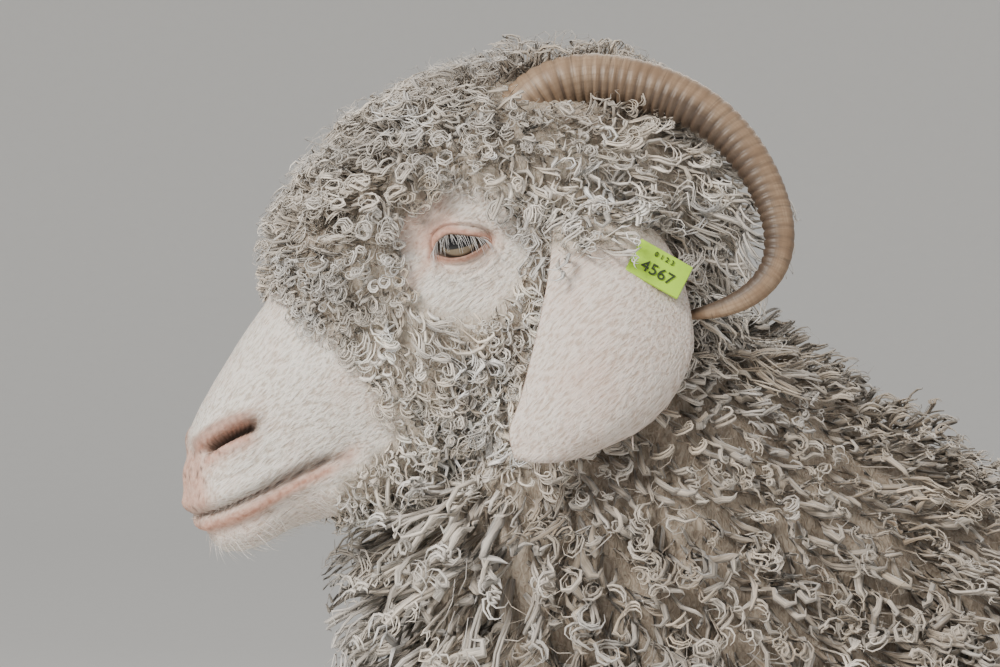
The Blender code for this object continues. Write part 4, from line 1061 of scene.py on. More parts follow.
@dataclass
class Eye:
    """One eyeball with its lids and lashes, in an axis system that looks out of the socket."""

    side: int
    looks: Triple = (0.22, 0.95, 0.06)
    tilt: float = math.radians(24)
    upper: tuple[tuple[float, float], ...] = (
        (-0.0129, -0.0020),
        (-0.0088, 0.0009),
        (-0.0044, 0.0026),
        (0.0000, 0.0042),
        (0.0037, 0.0051),
        (0.0080, 0.0036),
        (0.0121, -0.0015),
    )
    lower: tuple[tuple[float, float], ...] = (
        (-0.0129, -0.0020),
        (-0.0106, -0.0031),
        (-0.0066, -0.0046),
        (0.0000, -0.0056),
        (0.0050, -0.0051),
        (0.0088, -0.0035),
        (0.0121, -0.0015),
    )
    lid: float = 0.0018
    patch: float = 0.0205
    lash_count: int = 58
    lash_length: tuple[float, float] = (0.0040, 0.0088)
    lash_root: Colour = (0.50, 0.47, 0.45)
    lash_gain: Colour = (0.32, 0.35, 0.38)

    def frame(self) -> Matrix:
        """World matrix of the eye: local Z looks out, local X runs along the opening of the lids."""
        def at(offset: Sequence[float]) -> Vector:
            u, v, w = np.array(EYE_AT) + offset
            return Vector(head_point(u, self.side * v, w))

        centre = at((0, 0, 0))
        z = (at(self.looks) - centre).normalized()
        y = z.cross(at((math.cos(self.tilt), 0, math.sin(self.tilt))) - centre).normalized()
        if y.z < 0:
            y = -y
        x = y.cross(z)
        return Matrix.Translation(centre) @ Matrix((x, y, z)).transposed().to_4x4()

    def to_world(self, local: Array) -> Array:
        """World points of points in the eye's axes."""
        matrix = np.array(self.frame())
        return local @ matrix[:3, :3].T + matrix[:3, 3]

    def ball(self, name: str) -> Piece:
        """The eyeball, with the bulge of its clear front."""
        deselect()
        bpy.ops.mesh.primitive_uv_sphere_add(segments=56, ring_count=40, radius=EYE_RADIUS)
        obj = bpy.context.object
        obj.name = name
        local = points_of(obj)
        axis = local[:, 2] / EYE_RADIUS
        local = local * (1 + 0.035 * ease(0.82, 0.99, axis))[:, None]
        gaze = np.column_stack([local[:, :2] / EYE_RADIUS / 2 + 0.5, axis])
        gaze[axis < 0, :2] = 0.0
        place_points(obj, self.to_world(local) + SHIFT)
        paint(obj, "gaze", gaze)
        bpy.ops.object.shade_smooth()
        return obj

    def rim(self, turn: Array) -> Array:
        """The edge of the lids, flat, round the opening from its corner at the nose."""
        forward = -0.0004 + 0.0125 * np.cos(turn)
        upper, lower = np.array(self.upper).T, np.array(self.lower).T
        y = np.where(np.sin(turn) > 0, smooth_curve(forward, *upper), smooth_curve(forward, *lower))
        return np.stack([-self.inward() * forward, y], axis=-1)

    def marks(self, points: Array) -> tuple[Array, Array]:
        """Pink and dark shares of the skin round the eye, by its distance from the edge of the lids."""
        inverse = np.array(self.frame().inverted())
        local = points @ inverse[:3, :3].T + inverse[:3, 3]
        forward, y = -self.inward() * local[:, 0], local[:, 1]
        beyond = np.full(len(points), 1.0)
        near = (np.hypot(forward, y) < 0.040) & (local[:, 2] > -0.002)
        edge = self.rim(np.linspace(0, 2 * math.pi, 241))
        beyond[near] = np.linalg.norm(local[near, None, :2] - edge[None], axis=-1).min(1)
        over = ease(-0.002, 0.004, y)
        reddish = 1 - 0.75 * over * ease(-0.004, 0.004, forward)
        pink = 0.95 - 0.65 * ease(0.0014, 0.0042, beyond) * reddish - 0.35 * ease(0.004, 0.012, beyond)
        tear = np.clip((0.0200 - forward) / 0.008, 0, 1)
        from_tear = np.hypot(y + 0.0015 + 0.81 * (forward - 0.0121), 0.004 * (1 - tear)) * 0.78
        ahead = ease(0.0105, 0.0130, forward) * near
        pink = np.maximum(pink, 0.85 * bell(from_tear, 0.0034) * ahead)
        upper = 0.85 * (1 - ease(0.0004, 0.0016, beyond))
        lower = 0.45 * (1 - ease(0.0002, 0.0010, beyond))
        dark = upper * over + lower * (1 - over)
        dark = np.maximum(dark, 0.60 * bell(from_tear, 0.0009) * ahead * ease(0.0, 0.3, tear))
        return np.clip(pink, 0, 1) * near, np.clip(dark, 0, 1) * near

    def lid_height(self, share: float, flat: Array, level: Array, turn: Array) -> Array:
        """Height of one ring of the lids: on the eyeball inside, on the face outside, with folds between.

        Args:
            share: How far out the ring lies, 0 to 1.
            flat: Its points, flat.
            level: The face's height at them.
            turn: Their angles round the opening.

        Returns:
            The heights in the eye's axes.
        """
        up = ease(0.0, 0.5, np.sin(turn))
        back = ease(-0.2, 0.7, -np.cos(turn))
        from_middle = np.minimum(np.sqrt((flat**2).sum(1)), EYE_RADIUS)
        round_eye = np.sqrt((EYE_RADIUS + self.lid) ** 2 - from_middle**2)
        level = level + 0.0005 * (1 - ease(0.5, 0.85, share)) - 0.0009 * ease(0.72, 1.0, share)
        blend = ease(0.08, 0.75, share)
        z = round_eye * (1 - blend) + level * blend
        z += 0.0006 * bell(share - 0.05, 0.04)
        z -= (0.0008 + 0.0010 * up) * bell(share - 0.25, 0.05)
        z += (0.0003 + 0.0016 * up * (0.5 + 0.5 * back)) * bell(share - 0.40, 0.09)
        return z - 0.0007 * (1 - up) * bell(share - 0.56, 0.05)

    def lids(self, name: str, skin: BVHTree) -> Piece:
        """Both lids as one collar, from the edge on the eyeball out into the skin round the socket.

        Args:
            name: The object's name.
            skin: The head's surface without its sockets, to run out on.

        Returns:
            The collar, closed behind.
        """
        turn = np.linspace(0, 2 * math.pi, 121)
        edge = self.rim(turn)
        far = np.stack([-self.inward() * np.cos(turn) * 1.10, np.sin(turn)], axis=-1) * self.patch
        matrix = self.frame()
        inverse = matrix.inverted()
        outward = (matrix.to_3x3() @ Vector((0, 0, 1))).normalized()
        behind = np.sqrt(np.maximum((EYE_RADIUS - 0.001) ** 2 - ((edge * 1.04) ** 2).sum(1), 1e-8))
        inner = np.column_stack([edge * 1.04, behind])
        rings = [inner - (0, 0, 0.004), inner]
        for share in np.concatenate([np.linspace(0, 0.12, 5), np.linspace(0.15, 1, 24)]):
            flat = edge + (far - edge) * share
            level = np.zeros(len(turn))
            for i, (x, y) in enumerate(flat):
                hit = skin.ray_cast(matrix @ Vector((x, y, 0.06)), -outward)[0]
                level[i] = (inverse @ hit).z if hit else 0.0
            rings.append(np.column_stack([flat, self.lid_height(share, flat, level, turn)]))
        local = np.array([*rings, rings[-1] - (0, 0, 0.003), rings[0]])
        obj = tube(name, self.to_world(local.reshape(-1, 3)).reshape(local.shape))
        points = points_of(obj)
        felt = ease(0.004, 0.012, Wool().on_head(points, normals_of(obj)))
        paint(obj, "marks", np.stack([*self.marks(points), felt, paleness(points)], axis=-1))
        return obj

    def lashes(self, skin: "Skin") -> "Tufts":
        """Pale lashes that hang out and down from the upper lid.

        Args:
            skin: The skin that they grow on.

        Returns:
            The lashes.
        """
        rng = np.random.default_rng(31 + self.side)
        count = self.lash_count
        turn = np.radians(np.linspace(18, 162, count))
        edge = self.rim(turn + rng.normal(0, 0.04, count)) * 1.03
        height = np.sqrt((EYE_RADIUS + self.lid) ** 2 - (edge**2).sum(1)) + 0.0002
        root = np.column_stack([edge, height])
        t = np.linspace(0, 1, 8)[None, :, None]
        long = rng.uniform(*self.lash_length, (count, 1, 1))
        way = np.column_stack([edge[:, 0] * 28, np.full(count, -0.30), np.full(count, 0.75)])
        way = unit(way + rng.normal(0, 0.17, (count, 3)))
        droop = np.array([0.0, -0.55, -0.14])
        local = root[:, None] + long * (way[:, None] * t + droop * t**2)
        lines = self.to_world(local.reshape(-1, 3)).reshape(local.shape)
        half = 0.00012 * (1 - 0.75 * t[..., 0] ** 1.5) * np.ones((count, 1))
        light = ease(0.0, 0.5, t) * np.ones((count, 1, 1))
        tints = np.array(self.lash_root) + np.array(self.lash_gain) * light
        thin = np.broadcast_to(np.array(self.frame())[:3, 2], lines.shape)
        return Tufts(lines + SHIFT, thin, half, 0.8, tints, skin.uvs_at(lines[:, 0]))

    def inward(self) -> float:
        """The sign of local X away from the nose."""
        matrix = self.frame()
        return 1.0 if (matrix.to_3x3() @ Vector((1, 0, 0))).x > 0 else -1.0


@dataclass
class Ear:
    """One hanging ear: front edge, back edge, distance from the midline and thickness at each station."""

    side: int
    rows: Table = (
        (-0.478, 0.800, -0.462, 0.803, 0.036, 0.0110),
        (-0.483, 0.794, -0.455, 0.798, 0.052, 0.0080),
        (-0.489, 0.782, -0.439, 0.787, 0.068, 0.0055),
        (-0.496, 0.762, -0.432, 0.766, 0.080, 0.0044),
        (-0.503, 0.740, -0.430, 0.742, 0.087, 0.0038),
        (-0.510, 0.718, -0.438, 0.720, 0.090, 0.0034),
        (-0.516, 0.702, -0.455, 0.703, 0.091, 0.0030),
        (-0.514, 0.692, -0.480, 0.6925, 0.0915, 0.0024),
    )
    cup: float = 0.13
    across: int = 25

    def sheet(self) -> tuple[Array, Array, Array]:
        """Points of the ear's middle sheet, its outward directions and half thicknesses."""
        rows = smooth_table(np.array(self.rows), 46)
        front = np.stack([rows[:, 0], self.side * rows[:, 4], rows[:, 1]], axis=-1)
        back = np.stack([rows[:, 2], self.side * rows[:, 4], rows[:, 3]], axis=-1)
        middle, span = (front + back) / 2, back - front
        tangent = np.gradient(middle, axis=0)
        out = unit(np.cross(tangent, span) * -self.side)
        share = np.linspace(-1, 1, self.across)
        bow = np.linalg.norm(span, axis=1)[:, None] * self.cup * (1 - share**2)
        sheet = middle[:, None] + share[None, :, None] * span[:, None] / 2 + bow[..., None] * out[:, None]
        sheet[-1] += unit(tangent[-1]) * 0.004 * (1 - share**2)[:, None]
        half = rows[:, 5][:, None] / 2 * np.sqrt(1 - 0.82 * share**2)
        return sheet, np.broadcast_to(out[:, None], sheet.shape), half

    def build(self, name: str) -> Piece:
        """The ear as a closed leaf with a soft, slightly wavy edge."""
        sheet, out, half = self.sheet()
        share = np.linspace(-1, 1, self.across)
        down = np.linspace(0, 1, len(sheet))[:, None]
        wave = 0.0009 * np.sin(down * 11 + share * 2) * np.abs(share) ** 3 + 0.0007 * np.sin(down * 5 + 1)
        sheet = sheet + wave[..., None] * out
        outer, inner = sheet + half[..., None] * out, sheet - half[..., None] * out
        rings = np.concatenate([outer, inner[:, ::-1], outer[:, :1]], axis=1)
        obj = tube(name, with_ends(rings, 0.05, 2))
        points = points_of(obj)
        veins = 0.35 + 0.3 * np.sin(points[:, 0] * 420 + np.sin(points[:, 2] * 190) * 1.6)
        inside = 1 - ease(-0.3, 0.2, normals_of(obj)[:, 1] * self.side)
        pink = np.clip(0.16 + 0.10 * veins + 0.45 * inside, 0, 1)
        dark, pale = np.zeros(len(points)), np.full(len(points), 0.85)
        felt = ease(0.776, 0.786, points[:, 2]) * (1 - inside)
        paint(obj, "marks", np.stack([pink, dark, felt, pale], axis=-1))
        return obj


# Horns, hooves and the tag


@dataclass
class Horn:
    """One horn: a centreline of x, distance from the midline, z and radius, with rings of growth."""

    side: int
    rows: Table = (
        (-0.498, 0.020, 0.818, 0.0125),
        (-0.493, 0.024, 0.838, 0.0125),
        (-0.482, 0.029, 0.852, 0.0122),
        (-0.465, 0.035, 0.858, 0.0118),
        (-0.447, 0.043, 0.8565, 0.0115),
        (-0.429, 0.053, 0.8515, 0.0108),
        (-0.412, 0.064, 0.841, 0.0099),
        (-0.400, 0.075, 0.825, 0.0088),
        (-0.3925, 0.085, 0.806, 0.0078),
        (-0.390, 0.093, 0.787, 0.0068),
        (-0.3955, 0.098, 0.770, 0.0060),
        (-0.408, 0.094, 0.758, 0.0050),
        (-0.421, 0.084, 0.7530, 0.0036),
        (-0.432, 0.074, 0.7510, 0.0012),
    )
    rings: int = 300
    sides: int = 40
    flatten: float = 0.86
    smoothing: int = 240
    ridge: float = 0.0046
    fine_ridge: float = 0.0019

    def line(self) -> tuple[Array, Array]:
        """The smoothed centreline with its radii, and how far along it each point lies."""
        table = np.array(self.rows)
        table[:, 1] *= self.side
        spans = np.linalg.norm(np.diff(table[:, :3], axis=0), axis=1)
        station = np.concatenate([[0], np.cumsum(spans)])
        at = np.linspace(0, station[-1], self.rings)
        line = np.stack([np.interp(at, station, column) for column in table.T], axis=-1)
        for _ in range(self.smoothing):
            line[1:-1] = (line[:-2] + 2 * line[1:-1] + line[2:]) / 4
        return line, at

    def ridges(self, at: Array) -> tuple[Array, Array]:
        """The rings of growth, which wander a little, and the fine ones between them."""
        t = at / at[-1]
        beat = at * 2 * math.pi / self.ridge + 2.0 * np.sin(t * 19) + 0.9 * np.sin(t * 47)
        saw = np.sin(beat) + 0.35 * np.sin(2 * beat + 0.7)
        fine = np.sin(at * 2 * math.pi / self.fine_ridge + 2 * np.sin(t * 61))
        return saw[:, None], fine[:, None]

    def build(self, name: str) -> Piece:
        """The horn with its ridges, strongest on the inner face of the curl."""
        line, at = self.line()
        tangent = unit(np.gradient(line[:, :3], axis=0))
        wide = unit(np.cross(tangent, (0, self.side, 0)))
        thick = np.cross(tangent, wide)
        inner_way = unit(line[60:200, :3].mean(0) - line[:, :3])
        across, up = outline(self.sides)
        ways = up[None, :, None] * wide[:, None] + across[None, :, None] * self.flatten * thick[:, None]
        inner = ease(-0.35, 0.45, (unit(ways) * inner_way[:, None]).sum(-1))
        t = at / at[-1]
        saw, fine = self.ridges(at)
        fade = (1 - ease(0.72, 0.95, t))[:, None]
        tall = 1 + fade * (0.018 + 0.050 * inner) * saw + 0.006 * fade * fine
        radius = line[:, 3][:, None] * tall
        ring = line[:, None, :3] + radius[..., None] * ways
        obj = tube(name, with_ends(ring, 0.7) + SHIFT)
        points = points_of(obj) - SHIFT
        near = np.array([np.argmin(((line[:, :3] - p) ** 2).sum(1)) for p in points])
        way = unit(points - line[near, :3])
        inner_now = ease(-0.30, 0.40, (way * inner_way[near]).sum(1))
        # Where the grooves between ridges lie, to be darkened as painted shade.
        groove_shade = ease(0.1, 0.9, -saw[near, 0]) * fade[near, 0] * (0.30 + 0.70 * inner_now)
        paint(obj, "growth", np.stack([t[near], inner_now, groove_shade], axis=-1))
        return obj


@dataclass
class Hoof:
    """One claw of a cloven hoof, over the place of its solid."""

    node: str
    shares: tuple[float, ...] = (0.0, 0.04, 0.10, 0.22, 0.36, 0.50, 0.64, 0.78, 0.90, 0.97, 1.0)

    def build(self) -> Piece:
        """The claw: a rounded wall that slopes to the toe, ringed by growth, with a worn lower edge."""
        low, high = (np.array(corner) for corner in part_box(self.node))
        middle, size = (low + high) / 2, high - low
        across, along = outline(40, 2.5)
        rings = []
        for share in self.shares:
            edge = 1 - 0.05 * (1 - ease(0, 0.06, share)) - 0.10 * ease(0.9, 1.0, share)
            edge *= 1 + 0.008 * math.sin(share * 38)
            toe = low[0] + share * size[0] * 0.24
            heel = high[0] - 0.0005 - 0.001 * (1 - share)
            x = (toe + heel) / 2 + along * (heel - toe) / 2 * edge
            pinch = 1 - 0.35 * np.clip(((toe + heel) / 2 - x) / (heel - toe), 0, 1)
            y = middle[1] + across * size[1] / 2 * edge * pinch
            z = np.full_like(x, low[2] + share * size[2])
            rings.append(np.stack([x, y, z], axis=-1))
        return tube(self.node + "_wall", with_ends(np.array(rings), 0.0, 3))


@dataclass
class Tag:
    """The tag in the left ear: a rounded plate with generic raised digits, a stud and a cap."""

    ear: Ear
    at: tuple[float, float] = (-0.4463, 0.7713)
    size: Triple = (0.026, 0.0175, 0.0016)
    tilt: float = math.radians(36)
    off: float = 0.0034
    lines: tuple[tuple[str, float, float], ...] = (("0 1 2 3", 0.0034, 0.0050), ("4567", 0.0080, -0.0028))
    raised: float = 0.00022
    crease: float = 0.0007
    fasteners: Table = ((0.0022, 0.011, 0.0), (0.0055, 0.0016, -0.0094))

    def frame(self) -> Matrix:
        """World matrix of the plate: local Z points away from the ear, local X runs along it."""
        sheet, out, _ = self.ear.sheet()
        middles = sheet[:, self.ear.across // 2]
        near = int(np.argmin(np.abs(middles[:, 2] - self.at[1])))
        z = Vector(out[near, 0])
        centre = Vector((self.at[0], middles[near, 1], self.at[1])) + z * self.off + Vector(SHIFT)
        along = Vector((math.cos(self.tilt), 0, -math.sin(self.tilt)))
        y = z.cross(along).normalized()
        x = y.cross(z)
        return Matrix.Translation(centre) @ Matrix((x, y, z)).transposed().to_4x4()

    def bend(self, points: Array) -> Array:
        """How far the plate's ends are bent back at these points."""
        return -self.crease * (points[:, 0] / (self.size[0] / 2)) ** 2

    def panel(self) -> Piece:
        """The flat plate with its rounded corners and edges."""
        bpy.ops.mesh.primitive_cube_add(size=1)
        plate = bpy.context.object
        place_points(plate, points_of(plate) * self.size)
        bpy.ops.object.mode_set(mode="EDIT")
        mesh = bmesh.from_edit_mesh(plate.data)
        for edge in mesh.edges:
            edge.select_set(abs(edge.verts[0].co.z - edge.verts[1].co.z) > 1e-6)
        bmesh.update_edit_mesh(plate.data)
        bpy.ops.mesh.bevel(offset=0.0025, segments=6)
        bpy.ops.object.mode_set(mode="OBJECT")
        apply_modifier(plate, "BEVEL", width=0.0004, segments=3, limit_method="ANGLE")
        return plate

    def plate(self) -> Piece:
        """The bent plate, the stud and the cap behind the ear."""
        deselect()
        parts = [self.panel()]
        for radius, length, top in self.fasteners:
            place = (0, 0, top - length / 2)
            bpy.ops.mesh.primitive_cylinder_add(vertices=32, radius=radius, depth=length, location=place)
            bpy.ops.object.transform_apply(location=True)
            parts.append(bpy.context.object)
            apply_modifier(parts[-1], "BEVEL", width=0.0003, segments=2, limit_method="ANGLE")
        tag = join(parts, "tag_plate")
        points = points_of(tag)
        points[:, 2] += np.where(points[:, 2] > -0.002, self.bend(points), 0)
        place_points(tag, points)
        tag.data.transform(self.frame())
        bpy.context.view_layer.objects.active = tag
        bpy.ops.object.shade_smooth_by_angle(angle=math.radians(40))
        return tag

    def digits(self) -> Piece:
        """Two lines of plain raised digits."""
        parts = []
        for text, height, rise in self.lines:
            deselect()
            bpy.ops.object.text_add()
            font = bpy.context.object.data
            font.body, font.size, font.extrude = text, height, self.raised
            font.align_x = font.align_y = "CENTER"
            bpy.ops.object.convert(target="MESH")
            label = bpy.context.object
            points = points_of(label)
            points[:, 1] += rise
            points[:, 2] += self.size[2] / 2 + self.bend(points)
            place_points(label, points)
            parts.append(label)
        digits = join(parts, "tag_digits")
        digits.data.transform(self.frame())
        return digits


# The coat


# Root, middle and tip of the cream wool; the darker root is painted shade deep in the fleece.
PALE = ((0.66, 0.590, 0.505), (0.81, 0.755, 0.685), (0.90, 0.865, 0.815))
# Root, middle and tip of the dusky wool: partly its own dirtier tone, partly painted shade where the body
# falls away from the light; the root is also painted shade deep in the fleece.
DUSKY_AND_SHADED = ((0.230, 0.178, 0.132), (0.335, 0.272, 0.208), (0.44, 0.375, 0.302))


def paleness(points: Array) -> Array:
    """Share of cream-white in the wool: full on the cheeks, less on brow and throat, little on the body,
    whose dusky tone is partly the wool's own dirtier colour and partly painted shade toward the back, away
    from the front light.
    """
    brow = ease(math.radians(2), math.radians(42), head_turn(points))
    on_head = 1.0 - 0.46 * brow - 0.28 * ease(0.02, 0.09, -head_axes(points)[0])
    front = 1 - ease(-0.545, -0.450, points[:, 0] + 0.25 * np.abs(points[:, 1]))
    low = 1 - ease(0.15, 0.35, points[:, 2])
    on_body = 0.25 + 0.45 * front * ease(0.30, 0.45, points[:, 2]) + 0.35 * low
    return on_body + (on_head - on_body) * ease(-0.020, 0.030, above(HEAD_CUT, points))


@dataclass(frozen=True)
class Curl:
    """How the wool of one zone grows: clumps of locks, each a few ribbons of fibres that end in a ring."""

    name: str
    zone: Zone
    spacing: float
    clump: float
    ribbons: int
    rings: int
    length: float
    radius: float
    turns: float
    half: float
    ringed: float
    stray: float
    loose: float = 0.0008
    drift: float = 3.0
    rise: float = 0.84
    # Below 1, darkens the tints of undercoat ribbons as painted shade under the top locks.
    deep: float = 1.0

    def swell(self, t: Array) -> Array:
        """Share of the curl's full radius along a ribbon."""
        return (0.15 + 0.85 * ease(0.0, 0.36, t)) * (1 - 0.32 * ease(0.65, 1.0, t))

    def taper(self, t: Array) -> Array:
        """Share of the full half width along a ribbon."""
        return (0.60 + 0.40 * ease(0, 0.2, t)) * (1 - 0.85 * ease(0.55, 1.0, t) ** 1.3)


# Name, zone, spacing, clump, ribbons, rings, length, radius, turns, half width, ringed, stray, and the rest
CURLS = (
    Curl("topknot", Zone.TOPKNOT, 0.0044, 0.0125, 3, 13, 0.012, 0.004, 1.5, 0.00056, 0.86, 1.0),
    Curl("topknot_frizz", Zone.TOPKNOT, 0.004, 0.008, 1, 9, 0.012, 0.0046, 1.1, 0.00016, 0.5, 1.4, 0.003),
    Curl("topknot_under", Zone.TOPKNOT, 0.0046, 0.01, 1, 7, 0.012, 0.004, 0.9, 0.0013, 0.9, 1.2,
         rise=0.5, deep=0.94),
    Curl("cheek", Zone.CHEEK, 0.0069, 0.012, 3, 12, 0.016, 0.0042, 1.45, 0.00062, 0.82, 0.6),
    Curl("cheek_frizz", Zone.CHEEK, 0.008, 0.01, 1, 9, 0.014, 0.004, 1.0, 0.00016, 0.5, 0.9, 0.002),
    Curl("cheek_under", Zone.CHEEK, 0.006, 0.012, 1, 7, 0.014, 0.0042, 0.9, 0.0014, 0.9, 0.8,
         rise=0.46, deep=0.98),
    Curl("mane", Zone.MANE, 0.007, 0.018, 3, 13, 0.04, 0.0056, 1.6, 0.0008, 0.6, 0.3, 0.022, 1.7, 1.4),
    Curl("neck", Zone.NECK, 0.0088, 0.019, 3, 12, 0.022, 0.0047, 1.45, 0.00105, 0.82, 0.65, drift=2.4),
    Curl("neck_frizz", Zone.NECK, 0.013, 0.02, 1, 9, 0.028, 0.006, 1.2, 0.00022, 0.5, 0.9, 0.0035),
    Curl("neck_under", Zone.NECK, 0.0074, 0.019, 1, 7, 0.024, 0.0055, 0.9, 0.0024, 0.9, 0.8,
         rise=0.6, deep=0.84),
    Curl("trunk", Zone.TRUNK, 0.0196, 0.034, 2, 11, 0.038, 0.008, 1.35, 0.0032, 0.82, 0.55, drift=2.3),
    Curl("trunk_under", Zone.TRUNK, 0.0168, 0.034, 1, 6, 0.044, 0.009, 0.8, 0.005, 0.9, 0.7,
         rise=0.6, deep=0.84),
    Curl("leg", Zone.LEG, 0.0135, 0.026, 2, 8, 0.026, 0.0055, 1.1, 0.0025, 0.6, 0.4, drift=2.3),
    Curl("tail", Zone.TAIL, 0.0095, 0.022, 2, 11, 0.024, 0.0048, 1.2, 0.0018, 0.6, 0.45, drift=2.3),
)


@dataclass
class Tufts:
    """Many closed, tapered ribbons, ready to be joined into meshes."""

    lines: Array
    thin: Array
    half: Array
    flat: float
    tints: Array
    uvs: Array

    def part(self, chosen: Array) -> "Tufts":
        """Some of the ribbons."""
        names = ("lines", "thin", "half", "tints", "uvs")
        return replace(self, **{name: getattr(self, name)[chosen] for name in names})


@dataclass(frozen=True)
class TuftMesher:
    """Joins ribbons into one mesh of closed, three-sided, flattened tubes."""

    sides: int = 3
    patch: float = 0.003
    tip: float = 3.0

    def faces_each(self, rings: int) -> int:
        """Triangles of one ribbon."""
        return (rings - 1) * self.sides * 2 + self.sides + 1

    def points(self, tufts: Tufts) -> Array:
        """Points of each ribbon, ring by ring and then its tip."""
        lines = tufts.lines
        tangent = unit(np.gradient(lines, axis=1))
        thin = unit(flattened(tufts.thin, tangent))
        wide = np.cross(thin, tangent)
        turn = (np.arange(self.sides) * 2 * math.pi / self.sides)[:, None]
        around = np.cos(turn) * thin[:, :, None] * tufts.flat - np.sin(turn) * wide[:, :, None]
        rings = lines[:, :, None] + tufts.half[:, :, None, None] * around
        tips = lines[:, -1] + tangent[:, -1] * tufts.half[:, -1, None] * self.tip
        return np.concatenate([rings.reshape(len(lines), -1, 3), tips[:, None]], axis=1)

    def walls(self, rings: int) -> tuple[Array, Array]:
        """The four-sided faces of one ribbon, and the places of their corners across and along it."""
        faces, places = [], []
        for i in range(rings - 1):
            for j in range(self.sides):
                k, a, b = (j + 1) % self.sides, i * self.sides, (i + 1) * self.sides
                faces.append((a + j, a + k, b + k, b + j))
                places.append(((j, i), (j + 1, i), (j + 1, i + 1), (j, i + 1)))
        return np.array(faces), np.array(places, float)

    def ends(self, rings: int) -> tuple[Array, Array]:
        """The triangles at the root and the tip of one ribbon, and the places of their corners."""
        last = (rings - 1) * self.sides
        faces, places = [(2, 1, 0)], [((2, 0), (1, 0), (0, 0))]
        for j in range(self.sides):
            faces.append((last + j, last + (j + 1) % self.sides, rings * self.sides))
            places.append(((j, rings - 1), (j + 1, rings - 1), (j + 0.5, rings)))
        return np.array(faces), np.array(places, float)

    def build(self, name: str, tufts: Tufts) -> Piece:
        """One mesh of all the ribbons.

        Args:
            name: The object's name.
            tufts: The ribbons.

        Returns:
            The object.
        """
        number, rings = tufts.lines.shape[:2]
        points = self.points(tufts)
        (walls, wall_places), (ends, end_places) = self.walls(rings), self.ends(rings)
        first = np.arange(number)[:, None, None] * points.shape[1]
        loops = np.concatenate([(first + walls).ravel(), (first + ends).ravel()])
        sizes = np.repeat([4, 3], [number * len(walls), number * len(ends)])
        mesh = bpy.data.meshes.new(name)
        mesh.vertices.add(number * points.shape[1])
        mesh.vertices.foreach_set("co", points.astype(np.float32).ravel())
        mesh.loops.add(len(loops))
        mesh.loops.foreach_set("vertex_index", loops.astype(np.int32))
        mesh.polygons.add(len(sizes))
        mesh.polygons.foreach_set("loop_start", (np.cumsum(sizes) - sizes).astype(np.int32))
        mesh.update(calc_edges=True)
        mesh.polygons.foreach_set("use_smooth", np.ones(len(sizes), bool))
        share = np.concatenate([wall_places.reshape(-1, 2), end_places.reshape(-1, 2)]) / (self.sides, rings)
        maps = {"strand": self.fibre_map(share, tufts), "OFBake": self.patch_map(share, tufts)}
        for layer, values in maps.items():
            parts = [part.reshape(-1, 2) for part in np.split(values, [walls.size], axis=1)]
            uvs = np.concatenate(parts).astype(np.float32)
            mesh.uv_layers.new(name=layer).data.foreach_set("uv", uvs.ravel())
        obj = linked(name, mesh)
        tints = np.concatenate([np.repeat(tufts.tints, self.sides, axis=1), tufts.tints[:, -1:]], axis=1)
        paint(obj, "tint", tints.reshape(-1, 3))
        return obj

    def fibre_map(self, share: Array, tufts: Tufts) -> Array:
        """Places on each ribbon in millimetres, each ribbon in its own part of an endless pattern."""
        across = np.where(share[:, 0] > 0.5, share[:, 0] - 1, share[:, 0])
        widths, lengths = tufts.half.max(1), np.linalg.norm(np.diff(tufts.lines, axis=1), axis=-1).sum(1)
        scale = np.stack([widths * 3000, lengths * 1000], axis=-1)[:, None]
        offsets = np.random.default_rng(3).uniform(0, 500, (len(widths), 1, 2))
        return np.stack([across, share[:, 1]], axis=-1)[None] * scale + offsets

    def patch_map(self, share: Array, tufts: Tufts) -> Array:
        """A small patch for each ribbon at its root's place on the skin's unwrap."""
        return tufts.uvs[:, None] + (share[None] - 0.5) * self.patch


@dataclass
class Roots:
    """Places on the skin where tufts grow."""

    points: Array
    normals: Array
    uvs: Array
    marks: Array

    def part(self, chosen: Array) -> "Roots":
        """Some of the places."""
        return Roots(self.points[chosen], self.normals[chosen], self.uvs[chosen], self.marks[chosen])


